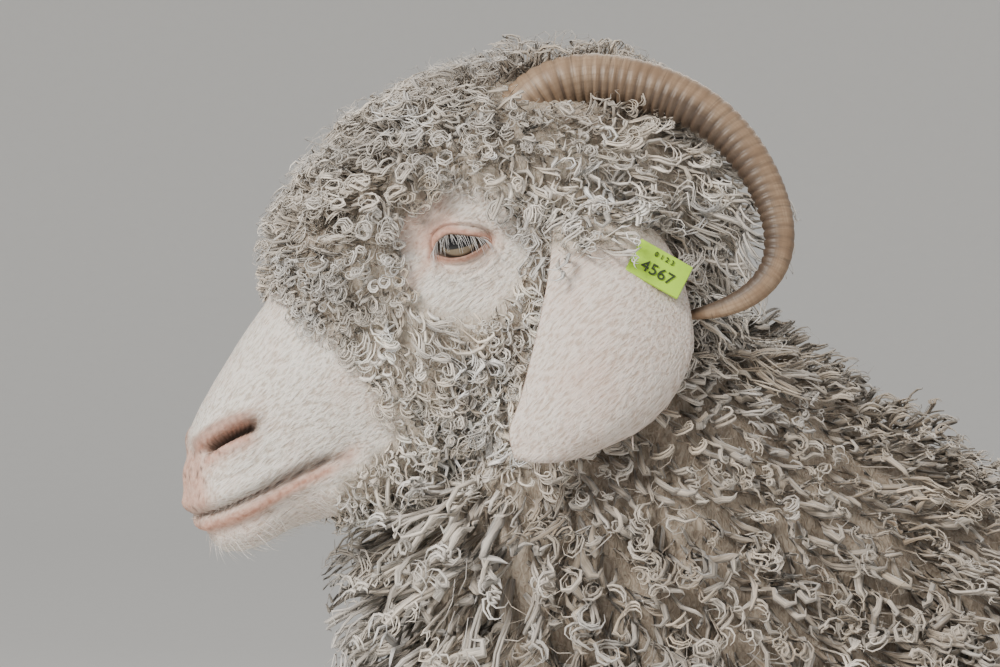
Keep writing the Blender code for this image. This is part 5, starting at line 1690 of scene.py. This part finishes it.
class Skin:
    """The finished skin as a place for roots to grow: its triangles, normals, unwrap and marks."""

    def __init__(self, obj: Piece) -> None:
        """Reads the triangles of a mesh."""
        mesh = obj.data
        mesh.calc_loop_triangles()
        corners = read(mesh.loop_triangles, "vertices", 3, np.int32)
        loops = read(mesh.loop_triangles, "loops", 3, np.int32)
        points = points_of(obj) - SHIFT
        self.points, self.normals = points[corners], normals_of(obj)[corners]
        self.uvs = read(mesh.uv_layers["OFBake"].data, "uv", 2)[loops]
        self.marks = read(mesh.attributes["marks"].data, "color", 4)[corners]
        first, second, third = self.points.transpose(1, 0, 2)
        self.areas = np.linalg.norm(np.cross(second - first, third - first), axis=1) / 2
        self.tree = BVHTree.FromPolygons(points.tolist(), corners.tolist())

    def scatter(self, rng: np.random.Generator, spacing: Callable[[Roots], Array], tries: int) -> Roots:
        """Even, random roots.

        Args:
            rng: The random numbers.
            spacing: Least distance between roots at these places, 0 for none there.
            tries: How many places are tried.

        Returns:
            The roots.
        """
        sources = (self.points, self.normals, self.uvs, self.marks)
        middles = Roots(self.points.mean(1), unit(self.normals.mean(1)), self.uvs.mean(1), self.marks.mean(1))
        apart = spacing(middles)
        weights = np.where(apart > 0, self.areas / np.maximum(apart, 1e-6) ** 2, 0.0)
        chosen = rng.choice(len(weights), tries, p=weights / weights.sum())
        a, b = rng.uniform(size=(2, tries, 1))
        over = a + b > 1
        a, b = np.where(over, 1 - a, a), np.where(over, 1 - b, b)
        corners = (values[chosen].transpose(1, 0, 2) for values in sources)
        mixed = [first + a * (second - first) + b * (third - first) for first, second, third in corners]
        roots = Roots(mixed[0], unit(mixed[1]), mixed[2], mixed[3])
        return roots.part(thinned(roots.points, spacing(roots)))

    def uvs_at(self, places: Array) -> Array:
        """The place on the skin's unwrap of the skin nearest to each point."""
        nearest = [self.tree.find_nearest(place)[2] for place in places.tolist()]
        return self.uvs[nearest].mean(1)

    def fitted(self, lines: Array, low: Array, high: Array, knee_at: float = 0.62) -> Array:
        """Moves lines in or out, so that they stay between two heights over the skin.

        Args:
            lines: Points of each line.
            low: Least height of each point.
            high: Greatest height of each line, neared softly.
            knee_at: Share of the greatest height where the soft end starts.

        Returns:
            The moved lines.
        """
        near, out = np.empty((2, lines.shape[0] * lines.shape[1], 3))
        for index, place in enumerate(lines.reshape(-1, 3).tolist()):
            hit = self.tree.find_nearest(place)
            near[index], out[index] = hit[0], hit[1]
        near, out = near.reshape(lines.shape), out.reshape(lines.shape)
        height = ((lines - near) * out).sum(-1)
        knee = high * knee_at
        room = high - knee
        soft = np.where(height > knee, knee + room * np.tanh((height - knee) / room), height)
        return lines + out * (np.maximum(soft, low) - height)[..., None]


def thinned(points: Array, least: Array) -> Array:
    """Indices of points that keep these distances, taken in order.

    Args:
        points: The places.
        least: Distance that each needs.

    Returns:
        The indices kept.
    """
    cell = float(least.max())
    cells: dict[tuple[int, int, int], list[int]] = {}
    keys = np.floor(points / cell).astype(int)
    places = points.tolist()
    reach = (least**2).tolist()
    around = [(i, j, k) for i in (-1, 0, 1) for j in (-1, 0, 1) for k in (-1, 0, 1)]
    kept = []
    for index, key in enumerate(map(tuple, keys.tolist())):
        if reach[index] <= 0:
            continue
        x, y, z = places[index]
        cubes = (cells.get((key[0] + i, key[1] + j, key[2] + k), ()) for i, j, k in around)
        nearby = (places[other] for cube in cubes for other in cube)
        if not any((px - x) ** 2 + (py - y) ** 2 + (pz - z) ** 2 < reach[index] for px, py, pz in nearby):
            cells.setdefault(key, []).append(index)
            kept.append(index)
    return np.array(kept, int)


@dataclass(frozen=True)
class Spreads:
    """How much the ribbons of a zone differ: between clumps, between locks and between ribbons."""

    scale: Triple = (0.10, 0.06, 0.02)
    length: Triple = (0.08, 0.10, 0.06)
    rise: Triple = (0.06, 0.08, 0.04)
    phase: Triple = (3.0, 0.35, 0.16)
    turns: Triple = (0.12, 0.08, 0.04)
    radius: Triple = (0.20, 0.14, 0.06)
    sway: Triple = (1.0, 0.6, 0.2)
    wave: Triple = (3.0, 0.4, 0.2)
    ringed: Triple = (0.4, 0.2, 0.0)
    half: Triple = (0.0, 0.12, 0.22)
    pale: Triple = (0.10, 0.05, 0.04)
    tone: Triple = (0.10, 0.06, 0.06)
    warm: Triple = (0.9, 0.3, 0.1)


class Draws:
    """Random draws at three levels: shared by a clump, by a lock, and each ribbon's own."""

    def __init__(self, rng: np.random.Generator, clumps: Array, ribbons: int) -> None:
        """Takes the clump of each lock and the ribbons in a lock."""
        self.rng, self.clumps, self.ribbons = rng, clumps, ribbons

    def __call__(self, spread: Triple) -> Array:
        """One normal draw a ribbon, with the spreads of clumps, locks and ribbons."""
        clump, lock, ribbon = spread
        locks = len(self.clumps)
        shared = self.rng.normal(0, clump, int(self.clumps.max()) + 1)[self.clumps]
        shared = shared + self.rng.normal(0, lock, locks)
        return (np.repeat(shared, self.ribbons) + self.rng.normal(0, ribbon, locks * self.ribbons))[:, None]

    def sign(self) -> Array:
        """One sign a ribbon, shared by its clump."""
        signs = self.rng.choice((-1.0, 1.0), int(self.clumps.max()) + 1)
        return np.repeat(signs[self.clumps], self.ribbons)[:, None]


@dataclass
class Coat:
    """The fleece: curled locks over the skin, from tight rings on the brow to long waves on the body."""

    skin: Skin
    wool: Wool
    least: float = 0.0045
    tries: int = 60000
    near_horn: float = 0.0155
    spreads: Spreads = Spreads()

    def zones(self, points: Array) -> dict[Zone, Array]:
        """Which zone each point is in, with borders that wander a little."""
        wander = lumpy(points, 0.030) * 0.012
        head = above(HEAD_CUT, points) + wander > 0
        neck = ~head & (above(NECK_CUT, points) + 2 * wander > 0)
        top = head & (head_turn(points) > math.radians(22) + wander * 18)
        tail = ~head & ~neck & (points[:, 0] > 0.345)
        leg = ~head & ~neck & ~tail & (points[:, 2] < 0.285)
        from_mane = np.hypot((points[:, 0] + 0.398) / 0.030, (points[:, 2] - 0.778) / 0.052)
        return {
            Zone.TOPKNOT: top,
            Zone.CHEEK: head & ~top,
            Zone.NECK: neck,
            Zone.TAIL: tail,
            Zone.LEG: leg,
            Zone.TRUNK: ~(head | neck | tail | leg),
            Zone.MANE: (from_mane < 1) & (np.abs(points[:, 1]) > 0.030),
        }

    def depth(self, zone: Zone, points: Array, normals: Array) -> Array:
        """Depth of the wool over the bare skin."""
        on_body = {
            Zone.NECK: self.wool.on_neck,
            Zone.LEG: self.wool.on_leg,
            Zone.TAIL: self.wool.on_tail,
            Zone.TRUNK: self.wool.on_torso,
        }
        return on_body.get(zone, self.wool.on_head)(points, normals)

    def fineness(self, curl: Curl, x: Array) -> Array:
        """Size of the trunk's locks, smaller toward the neck; 1 in the other zones."""
        return 1 - 0.40 * (1 - ease(-0.34, -0.18, x)) * (curl.zone is Zone.TRUNK)

    def clear(self, points: Array, round_tag: float) -> Array:
        """Where a lock would hide neither the base of a horn nor the tag.

        Args:
            points: The roots.
            round_tag: How far from the tag's middle locks start.

        Returns:
            True where a lock may grow.
        """
        base = smooth_table(np.array(Horn(1).rows)[:5, :3], 24)
        mirrored = np.column_stack([points[:, 0], np.abs(points[:, 1]), points[:, 2]])
        from_horn = np.linalg.norm(mirrored[:, None] - base[None], axis=-1).min(1)
        tag_x, tag_z = Tag(Ear(-1)).at
        from_tag = np.hypot(points[:, 0] - tag_x + 0.004, points[:, 2] - tag_z - 0.005)
        return (from_horn > self.near_horn) & ((from_tag > round_tag) | (points[:, 1] > 0))

    def spacing(self, curl: Curl, roots: Roots) -> Array:
        """Distance between locks at these roots, 0 outside the zone and on bare skin."""
        felt = roots.marks[:, 2]
        woolly = (felt + 0.3 * lumpy(roots.points, 0.004) > 0.45) & (felt > 0.15)
        inside = self.zones(roots.points)[curl.zone] & woolly
        inside = inside & self.clear(roots.points, 0.012 + 0.45 * curl.length)
        depth = self.depth(curl.zone, roots.points, roots.normals)
        shallow = 0.66 + 0.34 * ease(0.006, 0.020, depth)
        return np.where(inside, curl.spacing * self.fineness(curl, roots.points[:, 0]) * shallow, 0.0)

    def lie(self, curl: Curl, roots: Roots, rng: np.random.Generator) -> Array:
        """Directions in which the locks hang, along the skin."""
        points, normals = roots.points, roots.normals
        part = np.where(points[:, 1] > 0, 0.7, -0.7) * np.maximum(normals[:, 2], 0)
        back = ease(-0.515, -0.450, points[:, 0])
        ahead = {
            Zone.MANE: 0.9,
            Zone.CHEEK: 0.5 + 0.6 * ease(-0.50, -0.43, points[:, 0]),
            Zone.TOPKNOT: back - 0.75 * (1 - back) * ease(0.1, 0.6, normals[:, 2]),
        }
        hang = np.stack(np.broadcast_arrays(ahead.get(curl.zone, 0.25), part, -1.0), axis=-1)
        stray = flattened(rng.normal(size=hang.shape), normals)
        return unit(unit(flattened(hang, normals)) + unit(stray) * curl.stray)

    def grow(self, curl: Curl, rng: np.random.Generator) -> Tufts:
        """Grows the locks of one zone.

        Args:
            curl: How its wool grows.
            rng: The random numbers.

        Returns:
            Its ribbons.
        """
        roots = self.skin.scatter(rng, lambda places: self.spacing(curl, places), self.tries)
        locks, per = len(roots.points), curl.ribbons
        centres = thinned(roots.points, np.full(locks, curl.clump))
        clumps = np.linalg.norm(roots.points[:, None] - roots.points[centres][None], axis=-1).argmin(1)
        drawn, spread = Draws(rng, clumps, per), self.spreads
        lie = self.lie(curl, roots, rng)
        lie = unit(lie + 0.8 * lie[centres][clumps])
        each = (roots.points, roots.normals, lie, roots.points[centres][clumps])
        root, out, hang, middle = (np.repeat(values, per, axis=0)[:, None] for values in each)
        depth = np.maximum(self.depth(curl.zone, roots.points, roots.normals), self.least)
        reach = np.repeat(depth * (1 - FELT_SHARE), per)[:, None]
        scale = np.clip(reach / ((1 - FELT_SHARE) * FULL_DEPTH[curl.zone]), 0.45, 1.1)
        scale = scale * (1 + drawn(spread.scale))
        t = np.linspace(0, 1, curl.rings)[None, :]
        order = np.tile(np.arange(per), locks)[:, None]
        long = curl.length * scale * (1 + drawn(spread.length))
        up = reach * np.clip(curl.rise + drawn(spread.rise), 0.2, 1.7)
        angle = drawn(spread.phase) + 0.22 * order
        angle = angle + drawn.sign() * curl.turns * (1 + drawn(spread.turns)) * 2 * math.pi * t
        size = curl.radius * np.clip(scale, 0.6, 1.1) * np.clip(1 + drawn(spread.radius), 0.5, 1.6)
        size = size * (1.14 - 0.18 * order) * curl.swell(t)
        side = np.cross(out, hang)
        rise = up * (1 - (1 - t) ** 2.5)
        along = long * (1 - (1 - t) ** curl.drift)
        sway = long * (0.10 * drawn(spread.sway) * t + 0.06 * np.sin(drawn(spread.wave) + 5 * t))
        path = root + out * rise[..., None] + hang * along[..., None] + side * sway[..., None]
        path = path + (middle - root) * (0.42 * ease(0.05, 1.0, t))[..., None]
        path = path + rng.normal(0, 0.0004 + curl.half * 0.6, (len(order), 1, 3)) * t[..., None]
        ringed = curl.ringed * np.clip(1 + drawn(spread.ringed), 0, 1.3) * ease(0.20, 0.80, t)
        ringed = np.clip(ringed, 0, 1)[..., None]
        outward = np.cos(angle)[..., None] * side
        outward = outward + np.sin(angle)[..., None] * unit(out * (1 - ringed) + hang * ringed)
        low = 0.0006 * ease(0.05, 0.25, t) - 0.0030 * (1 - ease(0.0, 0.12, t))
        lines = self.skin.fitted(path + size[..., None] * outward, low, reach + curl.loose)
        lines[..., 2] = np.maximum(lines[..., 2], 0.006)
        thin = outward * (1 - ringed) + out * (ringed + 0.35)
        half = curl.half * np.clip(scale, 0.7, 1.05) * np.clip(1 + drawn(spread.half), 0.5, 1.6)
        half = half * curl.taper(t) * self.fineness(curl, root[..., 0])
        # curl.deep darkens undercoat ribbons as painted shade.
        tints = self.tints(roots.points, t, drawn) * curl.deep
        return Tufts(lines + SHIFT, thin, half, 0.42, tints, np.repeat(roots.uvs, per, axis=0))

    def tints(self, roots: Array, t: Array, drawn: Draws) -> Array:
        """Colour along each ribbon: darkened at the root as painted shade deep in the fleece, light at the
        tip, each clump a little its own.
        """
        spread = self.spreads
        pale = np.repeat(paleness(roots), drawn.ribbons)[:, None] + drawn(spread.pale)
        pale = np.clip(pale, 0, 1)[..., None]
        root, middle, tip = (np.array(a) * pale + np.array(b) * (1 - pale) for a, b in zip(PALE, DUSKY_AND_SHADED))
        # Darker at the root: painted shade deep in the fleece.
        tint = root + (middle - root) * ease(0.05, 0.45, t)[..., None]
        tint = tint + (tip - middle) * ease(0.35, 0.95, t)[..., None]
        tone, warm = drawn(spread.tone)[..., None], drawn(spread.warm)[..., None]
        return np.clip(tint * (1 + tone) * np.array([1.0, 0.975, 0.94]) ** warm, 0.02, 0.93)

    def build(self) -> list[Piece]:
        """All the locks, zone by zone, in pieces small enough to export."""
        pieces = []
        for index, curl in enumerate(CURLS):
            pieces += parted("wool_" + curl.name, self.grow(curl, np.random.default_rng(100 + index)))
        return pieces


def parted(name: str, tufts: Tufts) -> list[Piece]:
    """Meshes of ribbons, small enough to export, side by side across the goat."""
    mesher, pieces = TuftMesher(), []
    faces = len(tufts.lines) * mesher.faces_each(tufts.lines.shape[1])
    order = np.argsort(tufts.lines[:, 0, 1], kind="stable")
    for part, chosen in enumerate(np.array_split(order, math.ceil(faces / MOST_FACES))):
        pieces.append(mesher.build(f"{name}_{part + 1}", tufts.part(chosen)))
    LOG.info("%s: %d ribbons, %d triangles", name, len(tufts.lines), faces)
    return pieces


@dataclass
class Fur:
    """Short white hair where it breaks the form: round the eyes, on muzzle, ears and shanks.

    Each pair of sizes is for the head and for the body.
    """

    skin: Skin
    hair: Colour = (0.86, 0.83, 0.79)
    shade: Colour = (0.72, 0.67, 0.61)
    rings: int = 4
    tries: int = 60000
    apart: tuple[float, float] = (0.0024, 0.0078)
    apart_at_eye: float = 0.0019
    length: tuple[float, float] = (0.0052, 0.0085)
    half: tuple[float, float] = (0.00015, 0.00045)
    varied: tuple[float, float] = (0.7, 1.3)

    def spacing(self, roots: Roots) -> Array:
        """Distance between tufts, 0 where the skin is woolly, bare or dark."""
        u, _, w = head_axes(roots.points)
        near_eye = np.hypot(u - EYE_AT[0], w - EYE_AT[2]) < 0.045
        on_head, on_body = self.apart
        head = above(HEAD_CUT, roots.points) > 0
        apart = np.where(head, np.where(near_eye, self.apart_at_eye, on_head), on_body)
        bare = (roots.marks[:, 0] > 0.62) | (roots.marks[:, 1] > 0.35) | (roots.marks[:, 2] > 0.7)
        return np.where(bare | (roots.points[:, 2] < 0.040), 0.0, apart)

    def lie(self, roots: Roots) -> Array:
        """Direction of the hair: back over the muzzle, away from the eye, down the chin, ears and legs."""
        u, v, w = head_axes(roots.points)
        eye_u, eye_w = u - EYE_AT[0], w - EYE_AT[2]
        from_eye = np.hypot(eye_u, eye_w)[:, None]
        origin = head_point(0.0, 0.0, 0.0)
        back = head_point(-1.0, 0.0, -0.30) - origin
        under = head_point(-0.35, 0.0, -1.0) - origin
        round_eye = head_point(eye_u, 0.0, eye_w - 0.006) - origin
        low = (ease(0.000, 0.012, Face().mouth_line(u) - w) * ease(0.08, 0.10, u))[:, None]
        way = unit(back) * (1 - low) + unit(under) * low
        way = way + (unit(round_eye) - way) * (1 - ease(0.030, 0.050, from_eye))
        head = (above(HEAD_CUT, roots.points) > 0) & (np.abs(v) < 0.052)
        return np.where(head[:, None], way, np.array([0.05, 0.0, -1.0]))

    def build(self) -> list[Piece]:
        """Thin tapered tufts that lie along the skin, longer and looser under the mouth."""
        rng = np.random.default_rng(77)
        roots = self.skin.scatter(rng, self.spacing, self.tries)
        count, n = len(roots.points), roots.normals[:, None]
        t = np.linspace(0, 1, self.rings)[None, :, None]
        lie = self.lie(roots) + rng.normal(0, 0.16, (count, 3))
        lie = unit(flattened(lie, roots.normals))[:, None]
        head = above(HEAD_CUT, roots.points)[:, None, None] > 0
        u, _, w = head_axes(roots.points)
        beard = ease(0.10, 0.125, u) * ease(-0.004, 0.006, Face().mouth_line(u) - w)
        beard = beard[:, None, None] * head
        long = np.where(head, *self.length) * rng.uniform(*self.varied, (count, 1, 1)) * (1 + 0.5 * beard)
        lift = rng.uniform(0.05, 0.15, (count, 1, 1)) + beard * rng.uniform(0.1, 0.7, (count, 1, 1))
        rise = lift * t - 0.16 * t**2 - 0.05 * (1 - t)
        lines = roots.points[:, None] + long * (lie * t + n * rise)
        half = np.where(head[..., 0], *self.half) * rng.uniform(*self.varied, (count, 1))
        half = half * (1 - 0.85 * t[..., 0] ** 1.5)
        bright = rng.uniform(0.0, 1.0, (count, 1, 1)) * 0.5 + 0.5 * t
        tints = np.array(self.shade) * (1 - bright) + np.array(self.hair) * bright
        tints = tints * (1 - 0.35 * roots.marks[:, None, :1] * np.array([0.2, 0.8, 1.0]))
        thin = np.repeat(n, self.rings, axis=1)
        return parted("fur", Tufts(lines + SHIFT, thin, half, 0.5, tints, roots.uvs))


@dataclass
class Studio:
    """The camera of the photograph, the floor and soft light."""

    place: Triple = (-0.88538, -1.21523, 0.78654)
    azimuth: float = math.radians(-18)
    elevation: float = math.radians(2)
    lens: float = 100.0
    flat: float = 6.0
    bend: float = 3.0
    glow: Colour = (1.0, 0.95, 0.87)
    sky: Colour = (0.95, 0.945, 0.93)
    sky_strength: float = 0.60
    target: Triple = (-0.45, 0.0, 0.72)
    lamps: tuple[tuple[str, Triple, float, float], ...] = (
        ("key", (-2.0, -1.3, 2.1), 0.9, 88),
        ("fill", (0.9, -2.6, 1.5), 2.4, 8),
        ("rim", (0.9, 1.9, 2.2), 1.6, 30),
    )

    def camera(self) -> None:
        """The camera at the photograph's framing."""
        data = bpy.data.cameras.new("camera")
        data.lens, data.sensor_width, data.clip_end = self.lens, 36.0, 50.0
        camera = linked("camera", data)
        camera.location = np.array(self.place) + SHIFT
        camera.rotation_euler = (math.radians(90) - self.elevation, 0, self.azimuth)
        bpy.context.scene.camera = camera

    def floor(self) -> None:
        """A wide round floor whose rim turns up into a low backdrop on every side."""
        climb = np.radians(np.arange(0, 67, 6))
        reach = np.concatenate([[0.0], self.flat + self.bend * np.sin(climb)])
        height = np.concatenate([[0.0], self.bend * (1 - np.cos(climb))])
        turn = np.linspace(0, 2 * math.pi, 129)
        around = np.stack([np.cos(turn), np.sin(turn), 0 * turn], axis=-1)
        rings = reach[:, None, None] * around + height[:, None, None] * np.array([0, 0, 1])
        floor = tube("studio_floor", rings)
        floor.data.materials.append(FloorFinish().build())

    def lights(self) -> None:
        """A large soft key from the front left and above, a fill and a rim."""
        world = bpy.data.worlds.new("studio")
        world.use_nodes = True
        colour, strength = world.node_tree.nodes["Background"].inputs[:2]
        colour.default_value, strength.default_value = (*self.sky, 1.0), self.sky_strength
        bpy.context.scene.world = world
        target = Vector(self.target) + Vector(SHIFT)
        for name, place, size, watts in self.lamps:
            data = bpy.data.lights.new(name, "AREA")
            data.size, data.energy, data.color = size, watts, self.glow
            lamp = linked(name, data)
            lamp.location = place
            lamp.rotation_euler = (target - lamp.location).to_track_quat("-Z", "Y").to_euler()


FLESH = (
    "head", "neck", "torso", "tail", "ear_left", "ear_right",
    "foreleg_left_upper", "foreleg_left_lower", "foreleg_right_upper", "foreleg_right_lower",
    "hindleg_left_upper", "hindleg_left_lower", "hindleg_right_upper", "hindleg_right_lower",
)


def dress_skin(wool: Wool) -> Piece:
    """Builds the skin of trunk, head, lids and ears as one piece.

    Args:
        wool: Depth of the fleece over it.

    Returns:
        The skin.
    """
    hide = HideFinish().build()
    body, face = Body(wool), Face()
    head, whole = body.head(face), body.head(face, hollow=False)
    tree = BVHTree.FromObject(whole, bpy.context.evaluated_depsgraph_get())
    bpy.data.objects.remove(whole)
    parts = [body.trunk(), head]
    for side, word in SIDES:
        parts.append(Eye(side).lids(f"lids_{word}", tree))
        parts.append(Ear(side).build(f"ear_{word}_skin"))
    skin = join(parts, "goat_skin")
    skin.data.transform(Matrix.Translation(SHIFT))
    unwrap(skin)
    finish_piece(skin, hide, FLESH)
    return skin


def dress_hard_parts() -> None:
    """Builds the eyes, horns, hooves and the tag."""
    eye_finish, horn_finish, hoof_finish = EyeFinish().build(), HornFinish().build(), HoofFinish().build()
    for side, word in SIDES:
        finish_piece(Eye(side).ball(f"eyeball_{word}"), eye_finish, [f"eye_{word}"])
        finish_piece(Horn(side).build(f"horn_{word}_ringed"), horn_finish, [f"horn_{word}"])
    for name in sorted(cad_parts):
        if name.startswith("hoof_"):
            finish_piece(Hoof(name).build(), hoof_finish, [name])
    tag = Tag(Ear(-1))
    plastic = TagFinish("tag_plastic", (0.42, 0.72, 0.035), (0.30, 0.50, 0.05)).build()
    ink = TagFinish("tag_ink", (0.030, 0.045, 0.020), (0.06, 0.09, 0.03)).build()
    finish_piece(tag.plate(), plastic, ["ear_tag"])
    finish_piece(tag.digits(), ink)


def dress_wool(skin: Skin, wool: Wool) -> None:
    """Builds the fleece, the short hair and the lashes.

    Args:
        skin: The skin that they grow on.
        wool: Depth of the fleece.
    """
    mohair = WoolFinish().build()
    for piece in Coat(skin, wool).build():
        finish_piece(piece, mohair)
    for piece in Fur(skin).build():
        finish_piece(piece, mohair)
    for side, word in SIDES:
        for piece in parted(f"lashes_{word}", Eye(side).lashes(skin)):
            finish_piece(piece, mohair)


def main() -> None:
    """Builds the goat piece by piece."""
    logging.basicConfig(level=logging.INFO, format="%(name)s %(message)s")
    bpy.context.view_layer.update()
    studio = Studio()
    studio.camera()
    studio.floor()
    studio.lights()
    wool = Wool()
    skin = dress_skin(wool)
    dress_hard_parts()
    dress_wool(Skin(skin), wool)


if __name__ == "__main__":
    main()
